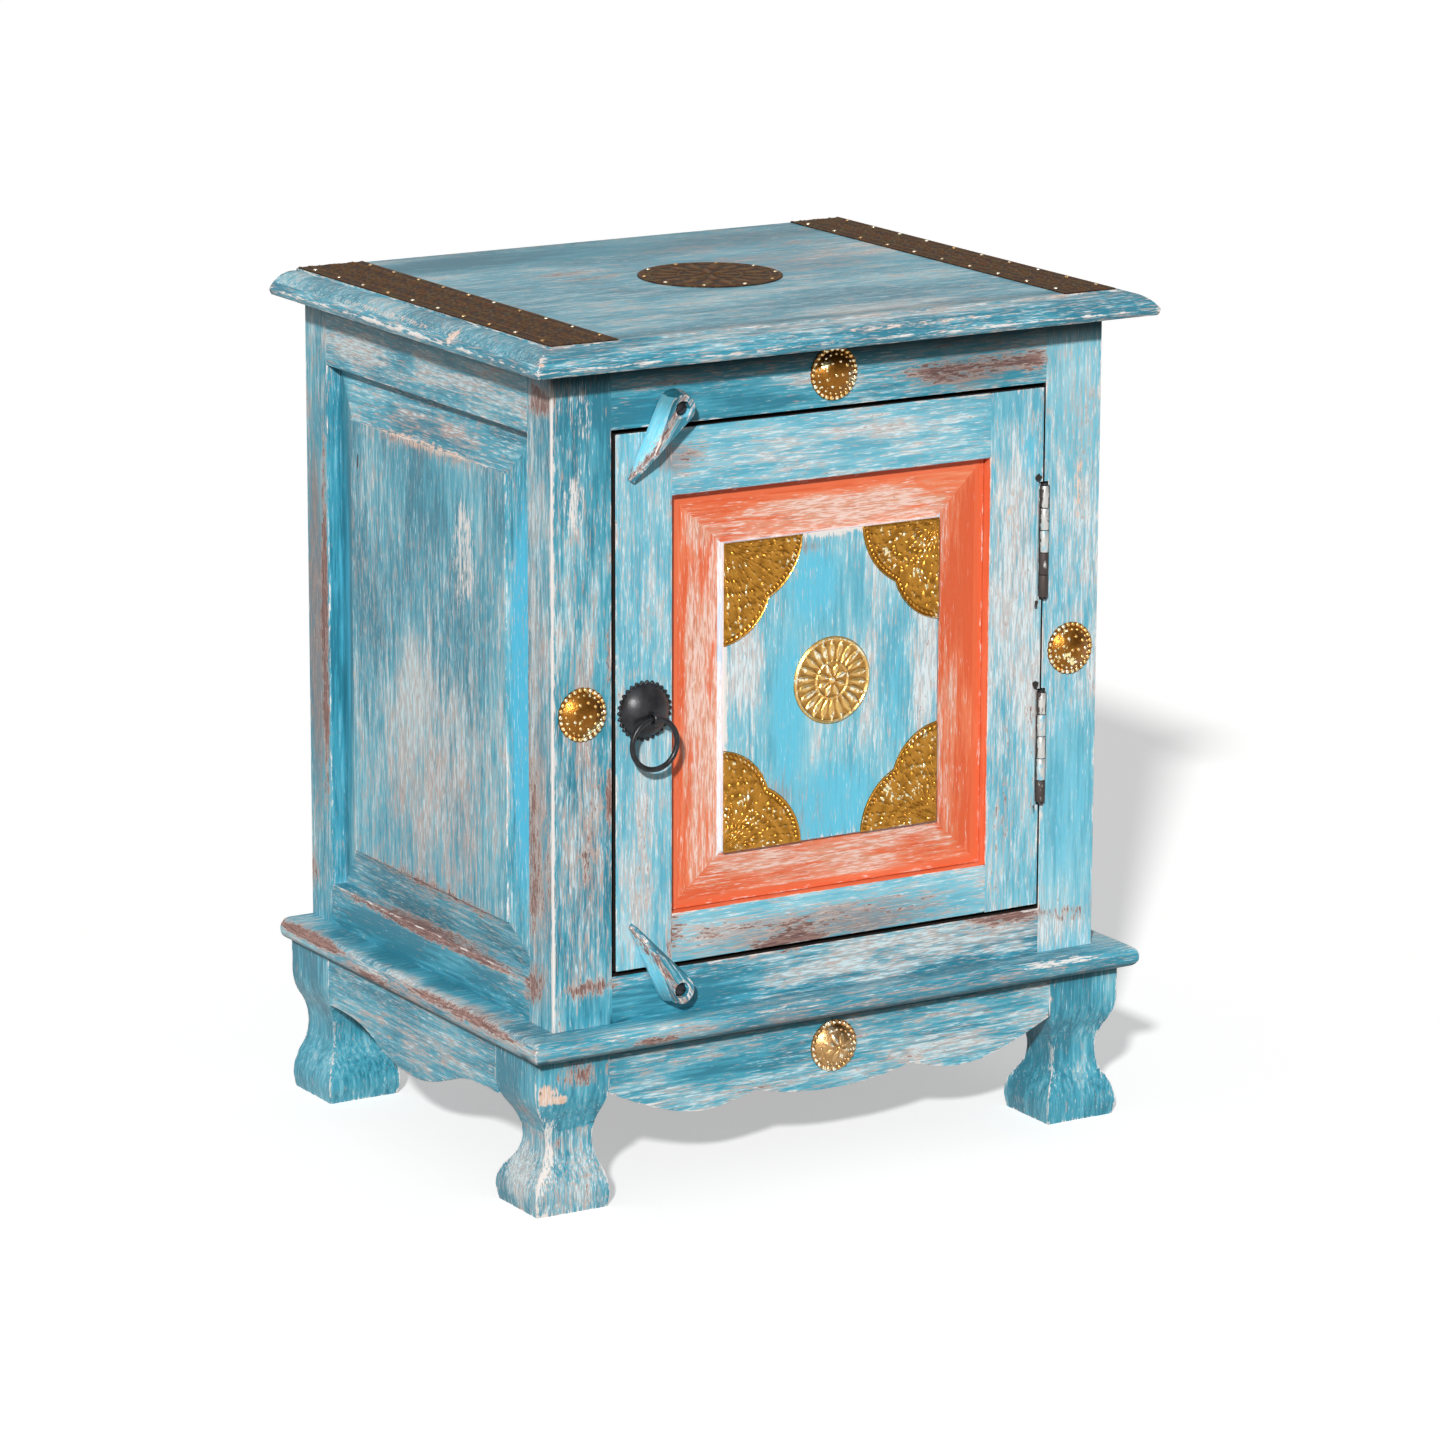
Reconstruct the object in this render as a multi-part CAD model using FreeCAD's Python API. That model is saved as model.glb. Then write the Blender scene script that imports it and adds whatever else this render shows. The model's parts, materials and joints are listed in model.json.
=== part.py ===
import FreeCAD, Part
import math
import os

# A small painted wooden nightstand: one framed door, panelled sides, a moulded top
# and a base board on four carved bracket feet. Millimetres, Z up, front faces -Y.
# The origin lies on the floor under the middle of the whole outline.

os.makedirs("parts", exist_ok=True)
X = FreeCAD.Vector(1, 0, 0)
Y = FreeCAD.Vector(0, 1, 0)
Z = FreeCAD.Vector(0, 0, 1)
full_turn = 360.0
half_turn = full_turn / 2

# Top slab
top_width = 412.0
top_depth = 320.0
top_surface = 499.0
top_thick = 14.0
top_front_over = 26.0
moulding_run = 18.0
moulding_quirk = 1.2
moulding_crown_run_share = 0.56
moulding_crown_drop_share = 0.2
moulding_nose_drop_share = 0.74
moulding_heel_drop_share = 0.89
moulding_heel_run_share = 0.975
moulding_foot_run_share = 0.92

# Metal laid on the top
sheet_thick = 0.6
strip_left_width = 43.0
strip_right_width = 35.0
strip_edge_gap = 0.8
disc_diameter = 85.0
disc_shift_x = 9.0
disc_shift_y = 7.5

# Cabinet frame
top_side_over = 23.0
board_top = 106.0
post_width = 38.2
post_depth = 27.0
front_rail_top_height = 37.7
front_rail_bottom_height = 27.0
side_rail_top_height = 40.0
side_rail_bottom_height = 24.0
back_rail_bottom_height = 34.0
side_rail_thick = 20.0
groove_inset = 9.0
groove_width = 6.0
groove_depth = 7.0
panel_play = 0.8
tenon_inset = 7.0
tenon_thick = 8.0
tenon_length = 15.0
side_tenon_length = 12.0
tenon_end_play = 0.6
front_tenon_shoulder = 6.0
stub_inset = 8.0
stub_length = 5.0
overrun = 2.0

# How many flats stand for a round
disc_sides = 64
rod_sides = 12
dome_sides = 24
dome_bands = 3
rosette_sides = 40
latch_head_flats = 12

# Side and back panels
side_field_sink = 1.0
side_field_margin = 27.0
side_field_step = 1.4

# Base board, legs and aprons
board_side_over = 22.0
board_thick = 13.0
board_front_over = 19.0
board_nose_radius = 6.0
leg_side_inset = 7.0
leg_front_over = 6.0
leg_back_inset = 1.5
leg_width = 48.0
leg_depth = 47.0
leg_waist_x = 10.5
leg_waist_front = 7.0
leg_waist_inner_x = 7.5
leg_waist_inner_y = 13.0
leg_knee_share = 0.8
leg_waist_share = 0.44
leg_foot_share = 0.09
leg_toe_tuck_share = 0.14
leg_dowel_radius = 9.0
leg_dowel_length = 8.0
apron_thick = 18.0
apron_face_sink = 0.8
apron_tenon_thick = 8.0
apron_tenon_length = 12.0
apron_tenon_inset = 5.0
apron_tenon_height = 16.0
front_apron_drop = 46.0
side_apron_drop = 48.0
back_apron_drop = 30.0
front_apron_outer_shares = [(1.0, 0.57), (0.87, 0.76), (0.73, 0.925), (0.59, 1.0), (0.47, 0.955),
                            (0.35, 0.85)]
front_apron_inner_shares = [(0.35, 0.85), (0.25, 0.93), (0.12, 0.99), (0.0, 1.0)]
side_apron_shares = [(1.0, 0.64), (0.75, 0.645), (0.58, 0.7), (0.4, 0.83), (0.2, 0.955), (0.0, 1.0)]

# Door
door_gap = 2.8
hinge_gap = 1.2
door_thick = 20.0
door_stile_width = 36.5
door_rail_top_width = 38.1
door_rail_bottom_width = 29.0
door_groove_inset = 10.0
door_groove_width = 5.0
door_groove_depth = 7.0
door_tenon_length = 18.0
door_bevel_sink = 6.5
door_field_sink = 1.0
door_field_step = 3.0
door_bevel_side_width = 34.2
door_bevel_end_width = 31.0
panel_back_thick = 3.0

# Brass on the door
plate_thick = 0.6
corner_reach_x_share = 0.361
corner_reach_z_share = 0.3315
corner_lobe_x_share = 0.57
corner_lobe_z_share = 0.58
corner_bulge_share = 0.2
rosette_radius = 25.5
rosette_thick = 1.2
ornament_lift = 2.6
rosette_rim = 1.8
rosette_hub_radius = 8.0

# Ring pull
pull_flange_radius = 17.6
pull_flange_thick = 1.4
pull_tooth_count = 36
pull_tooth_share = 0.94
pull_dome_radius = 15.6
pull_dome_height = 8.0
eye_width = 3.8
eye_radius = 4.0
eye_stem_radius = 1.8
ring_radius = 14.9
ring_wire_radius = 1.6
ring_wire_sides = 8
ring_step_count = 28
ring_play = 0.35
ring_hang = 0.8
eye_drop = 2.5

# Hinges
hinge_length = 66.0
hinge_spread = 61.5
hinge_lift = 7.0
hinge_axis_out = 1.0
barrel_radius = 2.8
pin_radius = 1.2
pin_play = 0.1
pin_head_height = 1.4
pin_head_radius = 2.1
leaf_thick = 1.0
leaf_gap = 0.4
leaf_reach = 17.0
knuckle_count = 5
knuckle_play = 0.3
barrel_play = 0.5

# Turn latches
latch_head_radius = 10.0
latch_length = 48.5
latch_thick = 12.0
latch_tip_half = 1.6
latch_front_head_radius = 8.0
latch_front_length = 30.0
latch_front_tip_half = 1.0
latch_edge_thick = 3.0
latch_turn = 55.0
latch_pivot_inset = 39.0
latch_pivot_out = 10.3
latch_face_gap = 0.4
latch_screw_radius = 2.0
latch_bore_play = 0.12
latch_screw_depth = 16.0
latch_screw_head_radius = 4.0
latch_screw_head_height = 2.2
latch_counterbore_radius = 4.6
latch_counterbore_depth = 4.0
latch_head_play = 0.3

# Domed studs and door stop
stud_radius = 15.5
stud_rim_radius = 1.5
stud_dome_radius = 12.6
stud_dome_height = 5.5
stud_shank_radius = 1.2
stud_shank_length = 9.0
stop_width = 16.0
stop_lip = 8.0
stop_thick = 12.0
stop_clear = 0.5
stop_end_gap = 20.0

# Places worked out from the sizes above
back_y = top_depth / 2
front_y = -top_depth / 2 + top_front_over
top_bottom = top_surface - top_thick
board_bottom = board_top - board_thick
half_body = top_width / 2 - top_side_over
board_width = 2 * (half_body + board_side_over)
leg_out_x = board_width / 2 - leg_side_inset
inner_x = half_body - post_width
side_front_y = front_y + post_depth
side_back_y = back_y - post_depth
leg_front_y = front_y - leg_front_over
leg_back_y = back_y - leg_back_inset
door_open_top = top_bottom - front_rail_top_height
door_open_bottom = board_top + front_rail_bottom_height
side_open_top = top_bottom - side_rail_top_height
side_open_bottom = board_top + side_rail_bottom_height
back_open_bottom = board_top + back_rail_bottom_height
latch_pivot_x = inner_x - latch_pivot_inset
hinge_x = inner_x - hinge_gap / 2
front_rail_thick = door_thick + stop_clear
hinge_y = front_y - hinge_axis_out
door_left = -inner_x + door_gap
door_right = inner_x - hinge_gap
door_bottom = door_open_bottom + door_gap
door_top = door_open_top - door_gap
door_mid_z = (door_bottom + door_rail_bottom_width + door_top - door_rail_top_width) / 2
door_mid_x = (door_left + door_right) / 2
ornament_z = door_mid_z + ornament_lift


def box(x0, x1, y0, y1, z0, z1):
    return Part.makeBox(x1 - x0, y1 - y0, z1 - z0, FreeCAD.Vector(x0, y0, z0))


def point(x, y, z):
    return FreeCAD.Vector(x, y, z)


def mirror_x(shape):
    return shape.mirror(point(0, 0, 0), X)


def polyline(points):
    return [Part.makeLine(a, b) for a, b in zip(points, points[1:])]


def smooth(points, first=None, last=None):
    curve = Part.BSplineCurve()
    if first is None:
        curve.interpolate(Points=points)
    else:
        curve.interpolate(Points=points, InitialTangent=first, FinalTangent=last)
    return curve.toShape()


def skinned(loops, closed=False):
    # a solid with flat faces between loops of as many corners, closed up like a ring or capped
    following = loops[1:] + loops[:1] if closed else loops[1:]
    faces = []
    for low, high in zip(loops, following):
        for k in range(len(low)):
            faces.append(Part.Face(Part.makePolygon([low[k - 1], low[k], high[k], low[k - 1]])))
            faces.append(Part.Face(Part.makePolygon([low[k - 1], high[k], high[k - 1], low[k - 1]])))
    if not closed:
        faces += [Part.Face(Part.makePolygon(loop + loop[:1])) for loop in (loops[0], loops[-1])]
    solid = Part.Solid(Part.Shell(faces))
    if solid.Volume < 0:
        solid.reverse()
    return solid


def round_loop(centre, radius, across, up, sides):
    angles = [math.radians(full_turn * k / sides) for k in range(sides)]
    return [centre + across * (radius * math.cos(a)) + up * (radius * math.sin(a)) for a in angles]


def rod(start, along, radius):
    across = Y if along.x else X
    up = Y if along.z else Z
    rim = round_loop(start, radius, across, up, rod_sides)
    return Part.Face(Part.makePolygon(rim + rim[:1])).extrude(along)


def save(name, shape):
    clean = shape.removeSplitter()
    if not clean.isValid():
        raise ValueError("not a valid solid: " + name)
    clean.exportStep("parts/" + name + ".step")
    print(name, len(clean.Solids), "solid(s)", round(clean.Volume))


# Moulded top: two profiles crossed, so the moulding mitres at the front corners
def moulding_side(edge, way, place):
    flat = edge - way * moulding_run

    def at(run_share, drop):
        return place(flat + way * moulding_run * run_share, top_surface - drop)

    crown = at(moulding_crown_run_share, top_thick * moulding_crown_drop_share)
    nose = at(1, top_thick * moulding_nose_drop_share)
    heel = at(moulding_heel_run_share, top_thick * moulding_heel_drop_share)
    foot = at(moulding_foot_run_share, top_thick)
    start = at(0, moulding_quirk)
    upper = Part.Arc(start, crown, nose).toShape()
    lower = Part.Arc(nose, heel, foot).toShape()
    return [Part.makeLine(at(0, 0), start), upper, lower], at(0, 0), foot


def top_profiles():
    def in_xz(x, z):
        return point(x, -back_y, z)

    def in_yz(y, z):
        return point(-top_width / 2, y, z)

    right, right_top, right_foot = moulding_side(top_width / 2, 1, in_xz)
    left, left_top, left_foot = moulding_side(-top_width / 2, -1, in_xz)
    across = right + [Part.makeLine(right_foot, left_foot)] + left + [Part.makeLine(left_top, right_top)]
    front, front_top, front_foot = moulding_side(-back_y, -1, in_yz)
    back_low = in_yz(back_y, top_bottom)
    back_high = in_yz(back_y, top_surface)
    along = front + polyline([front_foot, back_low, back_high, front_top])
    sides = Part.Face(Part.Wire(Part.__sortEdges__(across))).extrude(Y * top_depth)
    nose = Part.Face(Part.Wire(Part.__sortEdges__(along))).extrude(X * top_width)
    return sides.common(nose)


flat_left = -top_width / 2 + moulding_run + strip_edge_gap
flat_right = top_width / 2 - moulding_run - strip_edge_gap
flat_front = -back_y + moulding_run + strip_edge_gap
flat_back = back_y - strip_edge_gap
strip_spans = {
    "left": (flat_left, flat_left + strip_left_width),
    "right": (flat_right - strip_right_width, flat_right),
}
disc_x = disc_shift_x
disc_y = (flat_front + flat_back) / 2 + disc_shift_y


def make_top():
    slab = top_profiles()
    for way in (-1, 1):
        for y0 in (front_y, back_y - post_depth):
            slab = slab.cut(post_stub(way, y0, top_bottom, stub_length + tenon_end_play))
    save("top_slab", slab)
    for side, (x0, x1) in strip_spans.items():
        sheet = box(x0, x1, flat_front, flat_back, top_surface, top_surface + sheet_thick)
        save("top_strip_" + side, sheet)
    rim = round_loop(point(disc_x, disc_y, top_surface), disc_diameter / 2, X, Y, disc_sides)
    save("top_disc", Part.Face(Part.makePolygon(rim + rim[:1])).extrude(Z * sheet_thick))


# Corner posts with mortises for the rails and grooves for the panels
def post_stub(way, y0, z0, length):
    outer = way * (half_body - stub_inset)
    inner = way * (half_body - post_width + stub_inset)
    x0, x1 = sorted((outer, inner))
    return box(x0, x1, y0 + stub_inset, y0 + post_depth - stub_inset, z0, z0 + length)


def post_blank(way, y0):
    x0, x1 = sorted((way * half_body, way * inner_x))
    body = box(x0, x1, y0, y0 + post_depth, board_top, top_bottom)
    up = post_stub(way, y0, top_bottom, stub_length)
    down = post_stub(way, y0, board_top - stub_length, stub_length)
    return body.fuse([up, down])


def rail_tenon_x(way, y0, z0, z1, length):
    x0, x1 = sorted((way * inner_x, way * (inner_x + length)))
    return box(x0, x1, y0, y0 + tenon_thick, z0, z1)


groove_out = half_body - groove_inset
groove_in = groove_out - groove_width


def side_slot(way, y0, y1, z0, z1):
    x0, x1 = sorted((way * groove_out, way * groove_in))
    return box(x0, x1, y0, y1, z0, z1)


front_tenon_y = front_y + tenon_inset
back_groove_y = back_y - groove_inset - groove_width
rail_spans = {"top": (side_open_top, top_bottom), "bottom": (board_top, side_open_bottom)}
front_spans = {"top": (door_open_top, top_bottom), "bottom": (board_top, door_open_bottom)}
back_spans = {"top": (side_open_top, top_bottom), "bottom": (board_top, back_open_bottom)}


def tenon_zone(span, shoulder):
    low, high = span
    return low + shoulder, high - shoulder


def side_mortises(way, front):
    cuts = []
    for span in rail_spans.values():
        z0, z1 = tenon_zone(span, groove_depth)
        reach = side_tenon_length + tenon_end_play
        if front:
            cuts.append(side_slot(way, side_front_y - reach, side_front_y, z0, z1))
        else:
            cuts.append(side_slot(way, side_back_y, side_back_y + reach, z0, z1))
    z0, z1 = side_open_bottom - groove_depth, side_open_top + groove_depth
    if front:
        cuts.append(side_slot(way, side_front_y - groove_depth, side_front_y, z0, z1))
    else:
        cuts.append(side_slot(way, side_back_y, side_back_y + groove_depth, z0, z1))
    return cuts


def hinge_notch(way, z):
    # room for the barrel, and a shallow bed for the leaf behind it
    reach = barrel_radius + barrel_play
    x0, x1 = sorted((hinge_x, hinge_x + way * reach))
    half = hinge_length / 2 + pin_head_height + barrel_play
    notch = box(x0, x1, front_y - overrun, hinge_y + reach, z - half, z + half)
    x0, x1 = sorted((hinge_x, hinge_x + way * (leaf_gap / 2 + leaf_thick)))
    half = hinge_length / 2
    return notch.fuse(box(x0, x1, hinge_y, hinge_y + leaf_reach, z - half, z + half))


hinge_mid_z = door_mid_z + hinge_lift
hinge_heights = {"upper": hinge_mid_z + hinge_spread, "lower": hinge_mid_z - hinge_spread}


def make_posts():
    sides = {"left": -1, "right": 1}
    for side, way in sides.items():
        post = post_blank(way, front_y)
        for span in front_spans.values():
            z0, z1 = tenon_zone(span, front_tenon_shoulder)
            post = post.cut(rail_tenon_x(way, front_tenon_y, z0, z1, tenon_length + tenon_end_play))
        post = post.cut(side_mortises(way, True))
        if way > 0:
            post = post.cut([hinge_notch(1, z) for z in hinge_heights.values()])
        post = post.cut(stud_shanks())
        save("post_front_" + side, post)
        post = post_blank(way, back_y - post_depth)
        for span in back_spans.values():
            z0, z1 = tenon_zone(span, groove_depth)
            post = post.cut(back_slot(way, tenon_length + tenon_end_play, z0, z1))
        z0, z1 = back_open_bottom - groove_depth, side_open_top + groove_depth
        post = post.cut(back_slot(way, groove_depth, z0, z1))
        post = post.cut(side_mortises(way, False))
        save("post_back_" + side, post)


def back_slot(way, length, z0, z1):
    x0, x1 = sorted((way * inner_x, way * (inner_x + length)))
    return box(x0, x1, back_groove_y, back_groove_y + groove_width, z0, z1)


# Rails, tenoned into the posts
def make_rails():
    for place, span in front_spans.items():
        rail = box(-inner_x, inner_x, front_y, front_y + front_rail_thick, *span)
        z0, z1 = tenon_zone(span, front_tenon_shoulder)
        tenons = [rail_tenon_x(way, front_tenon_y, z0, z1, tenon_length) for way in (-1, 1)]
        rail = rail.fuse(tenons).cut(stud_shanks() + latch_screw_shanks(latch_screw_radius))
        save("rail_front_" + place, rail)
    for place, span in back_spans.items():
        rail = box(-inner_x, inner_x, back_y - side_rail_thick, back_y, *span)
        tenons = [back_slot(way, tenon_length, *tenon_zone(span, groove_depth)) for way in (-1, 1)]
        save("rail_back_" + place, rail.fuse(tenons).cut(panel_groove_back(place)))
    for side, way in {"left": -1, "right": 1}.items():
        for place, span in rail_spans.items():
            x0, x1 = sorted((way * half_body, way * (half_body - side_rail_thick)))
            rail = box(x0, x1, side_front_y, side_back_y, *span)
            z0, z1 = tenon_zone(span, groove_depth)
            front = side_slot(way, side_front_y - side_tenon_length, side_front_y, z0, z1)
            back = side_slot(way, side_back_y, side_back_y + side_tenon_length, z0, z1)
            groove = panel_groove_side(way, place)
            save("rail_" + side + "_" + place, rail.fuse([front, back]).cut(groove))


def groove_levels(place, open_low, open_high):
    if place == "top":
        return open_high, open_high + groove_depth
    return open_low - groove_depth, open_low


def panel_groove_back(place):
    z0, z1 = groove_levels(place, back_open_bottom, side_open_top)
    return box(-inner_x, inner_x, back_groove_y, back_groove_y + groove_width, z0, z1)


def panel_groove_side(way, place):
    z0, z1 = groove_levels(place, side_open_bottom, side_open_top)
    return side_slot(way, side_front_y, side_back_y, z0, z1)


# Raised and fielded panels
def rect_yz(x, y0, y1, z0, z1):
    return [point(x, y0, z0), point(x, y1, z0), point(x, y1, z1), point(x, y0, z1)]


def rect_xz(y, x0, x1, z0, z1):
    return [point(x0, y, z0), point(x1, y, z0), point(x1, y, z1), point(x0, y, z1)]


def make_side_panel():
    slip = panel_play / 2
    y0, y1 = side_front_y - groove_depth + panel_play, side_back_y + groove_depth - panel_play
    z0, z1 = side_open_bottom - groove_depth, side_open_top + groove_depth - panel_play
    tongue = box(-groove_out, -groove_in, y0, y1, z0, z1)
    field_x = -half_body + side_field_sink
    shoulder_x = field_x + side_field_step
    low = rect_yz(-groove_out, side_front_y + slip, side_back_y - slip,
                  side_open_bottom + slip, side_open_top - slip)
    field = (side_front_y + side_field_margin, side_back_y - side_field_margin,
             side_open_bottom + side_field_margin, side_open_top - side_field_margin)
    bevel = skinned([low, rect_yz(shoulder_x, *field)])
    raised = box(field_x, shoulder_x, *field)
    return tongue.fuse([bevel, raised])


def make_panels():
    left = make_side_panel()
    save("panel_left", left)
    save("panel_right", mirror_x(left))
    half = inner_x + groove_depth - panel_play
    z0, z1 = back_open_bottom - groove_depth, side_open_top + groove_depth - panel_play
    save("panel_back", box(-half, half, back_groove_y, back_groove_y + groove_width, z0, z1))


# Base board with rounded front and side edges
def make_board():
    half = board_width / 2
    board = box(-half, half, front_y - board_front_over, back_y, board_bottom, board_top)
    round_edges = []
    for edge in board.Edges:
        middle = edge.CenterOfMass
        level = abs(edge.BoundBox.ZLength) < tenon_end_play
        if level and middle.y < back_y - tenon_end_play:
            round_edges.append(edge)
    board = board.makeFillet(board_nose_radius, round_edges)
    for way in (-1, 1):
        for y0 in (front_y, back_y - post_depth):
            depth = stub_length + tenon_end_play
            board = board.cut(post_stub(way, y0, board_top - depth, depth))
        for y in leg_mid_y.values():
            depth = leg_dowel_length + tenon_end_play
            board = board.cut(rod(point(way * leg_mid_x, y, board_bottom), Z * depth, leg_dowel_radius))
    save("base_board", board)


# Bracket legs: an S profile each way, crossed
leg_mid_x = leg_out_x - leg_width / 2
leg_mid_y = {"front": leg_front_y + leg_depth / 2, "back": leg_back_y - leg_depth / 2}


def s_bend(depth, z0, z1, at):
    # two equal arcs from the outer line at z0 to the waist at z1, upright at both ends
    rise = z1 - z0
    radius = (depth * depth + rise * rise) / (4 * depth)
    half = math.asin(abs(rise) / 2 / radius)
    sign = math.copysign(1, rise)

    def on_first(angle):
        return radius * (1 - math.cos(angle)), z0 + sign * radius * math.sin(angle)

    quarter, middle = on_first(half / 2), on_first(half)
    mirrored = depth - quarter[0], z0 + z1 - quarter[1]
    first = Part.Arc(at(0, z0), at(*quarter), at(*middle)).toShape()
    second = Part.Arc(at(*middle), at(*mirrored), at(depth, z1)).toShape()
    return [first, second]


def leg_edge(base, way, waist, place):
    def at(inset, z):
        return place(base - way * inset, z)

    knee, middle, toe = [board_bottom * share for share in (leg_knee_share, leg_waist_share, leg_foot_share)]
    floor = at(waist * leg_toe_tuck_share, 0)
    top = Part.makeLine(at(0, board_bottom), at(0, knee))
    tuck = Part.makeLine(at(0, toe), floor)
    bends = s_bend(waist, knee, middle, at) + s_bend(waist, toe, middle, at)
    return [top, tuck] + bends, at(0, board_bottom), floor


def straight_edge(base, place):
    high, low = place(base, board_bottom), place(base, 0)
    return [Part.makeLine(high, low)], high, low


def crossed(one, two, along):
    edges = one[0] + two[0] + [Part.makeLine(one[1], two[1]), Part.makeLine(one[2], two[2])]
    return Part.Face(Part.Wire(Part.__sortEdges__(edges))).extrude(along)


def make_leg(row):
    def in_xz(x, z):
        return point(x, -top_depth, z)

    def in_yz(y, z):
        return point(-top_width, y, z)

    outer = leg_edge(-leg_out_x, -1, leg_waist_x, in_xz)
    inner = leg_edge(-leg_out_x + leg_width, 1, leg_waist_inner_x, in_xz)
    wide = crossed(outer, inner, Y * 2 * top_depth)
    if row == "front":
        face = leg_edge(leg_front_y, -1, leg_waist_front, in_yz)
        rear = leg_edge(leg_front_y + leg_depth, 1, leg_waist_inner_y, in_yz)
    else:
        face = leg_edge(leg_back_y - leg_depth, -1, leg_waist_inner_y, in_yz)
        rear = straight_edge(leg_back_y, in_yz)
    deep = crossed(face, rear, X * 2 * top_width)
    leg = wide.common(deep)
    seat = point(-leg_mid_x, leg_mid_y[row], board_bottom)
    return leg.fuse(rod(seat, Z * leg_dowel_length, leg_dowel_radius))


def apron_tenons_x(y0, reach):
    half = leg_out_x - leg_width
    z1 = board_bottom - apron_tenon_inset
    tenons = []
    for way in (-1, 1):
        x0, x1 = sorted((way * half, way * (half + reach)))
        tenons.append(box(x0, x1, y0, y0 + apron_tenon_thick, z1 - apron_tenon_height, z1))
    return tenons


def apron_tenons_y(way, reach):
    z1 = board_bottom - apron_tenon_inset
    outer = leg_out_x - apron_face_sink - apron_tenon_inset
    x0, x1 = sorted((way * outer, way * (outer - apron_tenon_thick)))
    low = leg_front_y + leg_depth
    high = leg_back_y - leg_depth
    front = box(x0, x1, low - reach, low, z1 - apron_tenon_height, z1)
    back = box(x0, x1, high, high + reach, z1 - apron_tenon_height, z1)
    return [front, back]


front_apron_y = leg_front_y + apron_face_sink
back_apron_y = leg_back_y - apron_face_sink - apron_thick


def make_legs():
    slack = apron_tenon_length + tenon_end_play
    for row in ("front", "back"):
        leg = make_leg(row)
        if row == "front":
            across = apron_tenons_x(front_apron_y + apron_tenon_inset, slack)
        else:
            across = apron_tenons_x(back_apron_y + apron_tenon_inset, slack)
        leg = leg.cut(across + apron_tenons_y(-1, slack))
        save("leg_" + row + "_left", leg)
        save("leg_" + row + "_right", mirror_x(leg))


def scallop(parts, half, drop, place):
    edges = []
    for way in (1, -1):
        for shares in parts:
            points = [place(way * half * a, board_bottom - drop * b) for a, b in shares]
            edges.append(smooth(points))
    return edges


def make_aprons():
    half = leg_out_x - leg_width

    def front_place(x, z):
        return point(x, front_apron_y, z)

    edges = scallop([front_apron_outer_shares, front_apron_inner_shares], half, front_apron_drop, front_place)
    end_drop = front_apron_drop * front_apron_outer_shares[0][1]
    low = board_bottom - end_drop
    edges += polyline([front_place(-half, low), front_place(-half, board_bottom),
                       front_place(half, board_bottom), front_place(half, low)])
    front = Part.Face(Part.Wire(Part.__sortEdges__(edges))).extrude(Y * apron_thick)
    front = front.fuse(apron_tenons_x(front_apron_y + apron_tenon_inset, apron_tenon_length))
    save("apron_front", front.cut(stud_shanks()))
    low = board_bottom - back_apron_drop
    back = box(-half, half, back_apron_y, back_apron_y + apron_thick, low, board_bottom)
    save("apron_back", back.fuse(apron_tenons_x(back_apron_y + apron_tenon_inset, apron_tenon_length)))
    y0, y1 = leg_front_y + leg_depth, leg_back_y - leg_depth
    middle = (y0 + y1) / 2
    outer = -leg_out_x + apron_face_sink

    def side_place(y, z):
        return point(outer, middle + y, z)

    reach = (y1 - y0) / 2
    edges = scallop([side_apron_shares], reach, side_apron_drop, side_place)
    low = board_bottom - side_apron_drop * side_apron_shares[0][1]
    edges += polyline([side_place(-reach, low), side_place(-reach, board_bottom),
                       side_place(reach, board_bottom), side_place(reach, low)])
    side = Part.Face(Part.Wire(Part.__sortEdges__(edges))).extrude(X * apron_thick)
    side = side.fuse(apron_tenons_y(-1, apron_tenon_length))
    save("apron_left", side)
    save("apron_right", mirror_x(side))


# Door frame and its raised panel
pane_left = door_left + door_stile_width
pane_right = door_right - door_stile_width
pane_bottom = door_bottom + door_rail_bottom_width
pane_top = door_top - door_rail_top_width
door_groove_y = front_y + door_groove_inset


def door_slot(x0, x1, z0, z1):
    return box(x0, x1, door_groove_y, door_groove_y + door_groove_width, z0, z1)


door_rail_spans = {"top": (pane_top, door_top), "bottom": (door_bottom, pane_bottom)}


def door_tenons(span, reach):
    z0, z1 = tenon_zone(span, door_groove_depth)
    spans = ((pane_left - reach, pane_left), (pane_right, pane_right + reach))
    return [door_slot(x0, x1, z0, z1) for x0, x1 in spans]


def make_door_frame():
    back = front_y + door_thick
    sockets = []
    for span in door_rail_spans.values():
        sockets += door_tenons(span, door_tenon_length + tenon_end_play)
    z0, z1 = pane_bottom - door_groove_depth, pane_top + door_groove_depth
    left = box(door_left, pane_left, front_y, back, door_bottom, door_top)
    left = left.cut(sockets + [door_slot(pane_left - door_groove_depth, pane_left, z0, z1)])
    save("door_stile_left", left.cut(pull_stem(eye_stem_radius)))
    right = box(pane_right, door_right, front_y, back, door_bottom, door_top)
    right = right.cut(sockets + [door_slot(pane_right, pane_right + door_groove_depth, z0, z1)])
    right = right.cut([hinge_notch(-1, z) for z in hinge_heights.values()])
    save("door_stile_right", right)
    grooves = {"top": (pane_top, pane_top + door_groove_depth),
               "bottom": (pane_bottom - door_groove_depth, pane_bottom)}
    for place, span in door_rail_spans.items():
        rail = box(pane_left, pane_right, front_y, back, *span)
        rail = rail.fuse(door_tenons(span, door_tenon_length))
        save("door_rail_" + place, rail.cut(door_slot(pane_left, pane_right, *grooves[place])))


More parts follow.
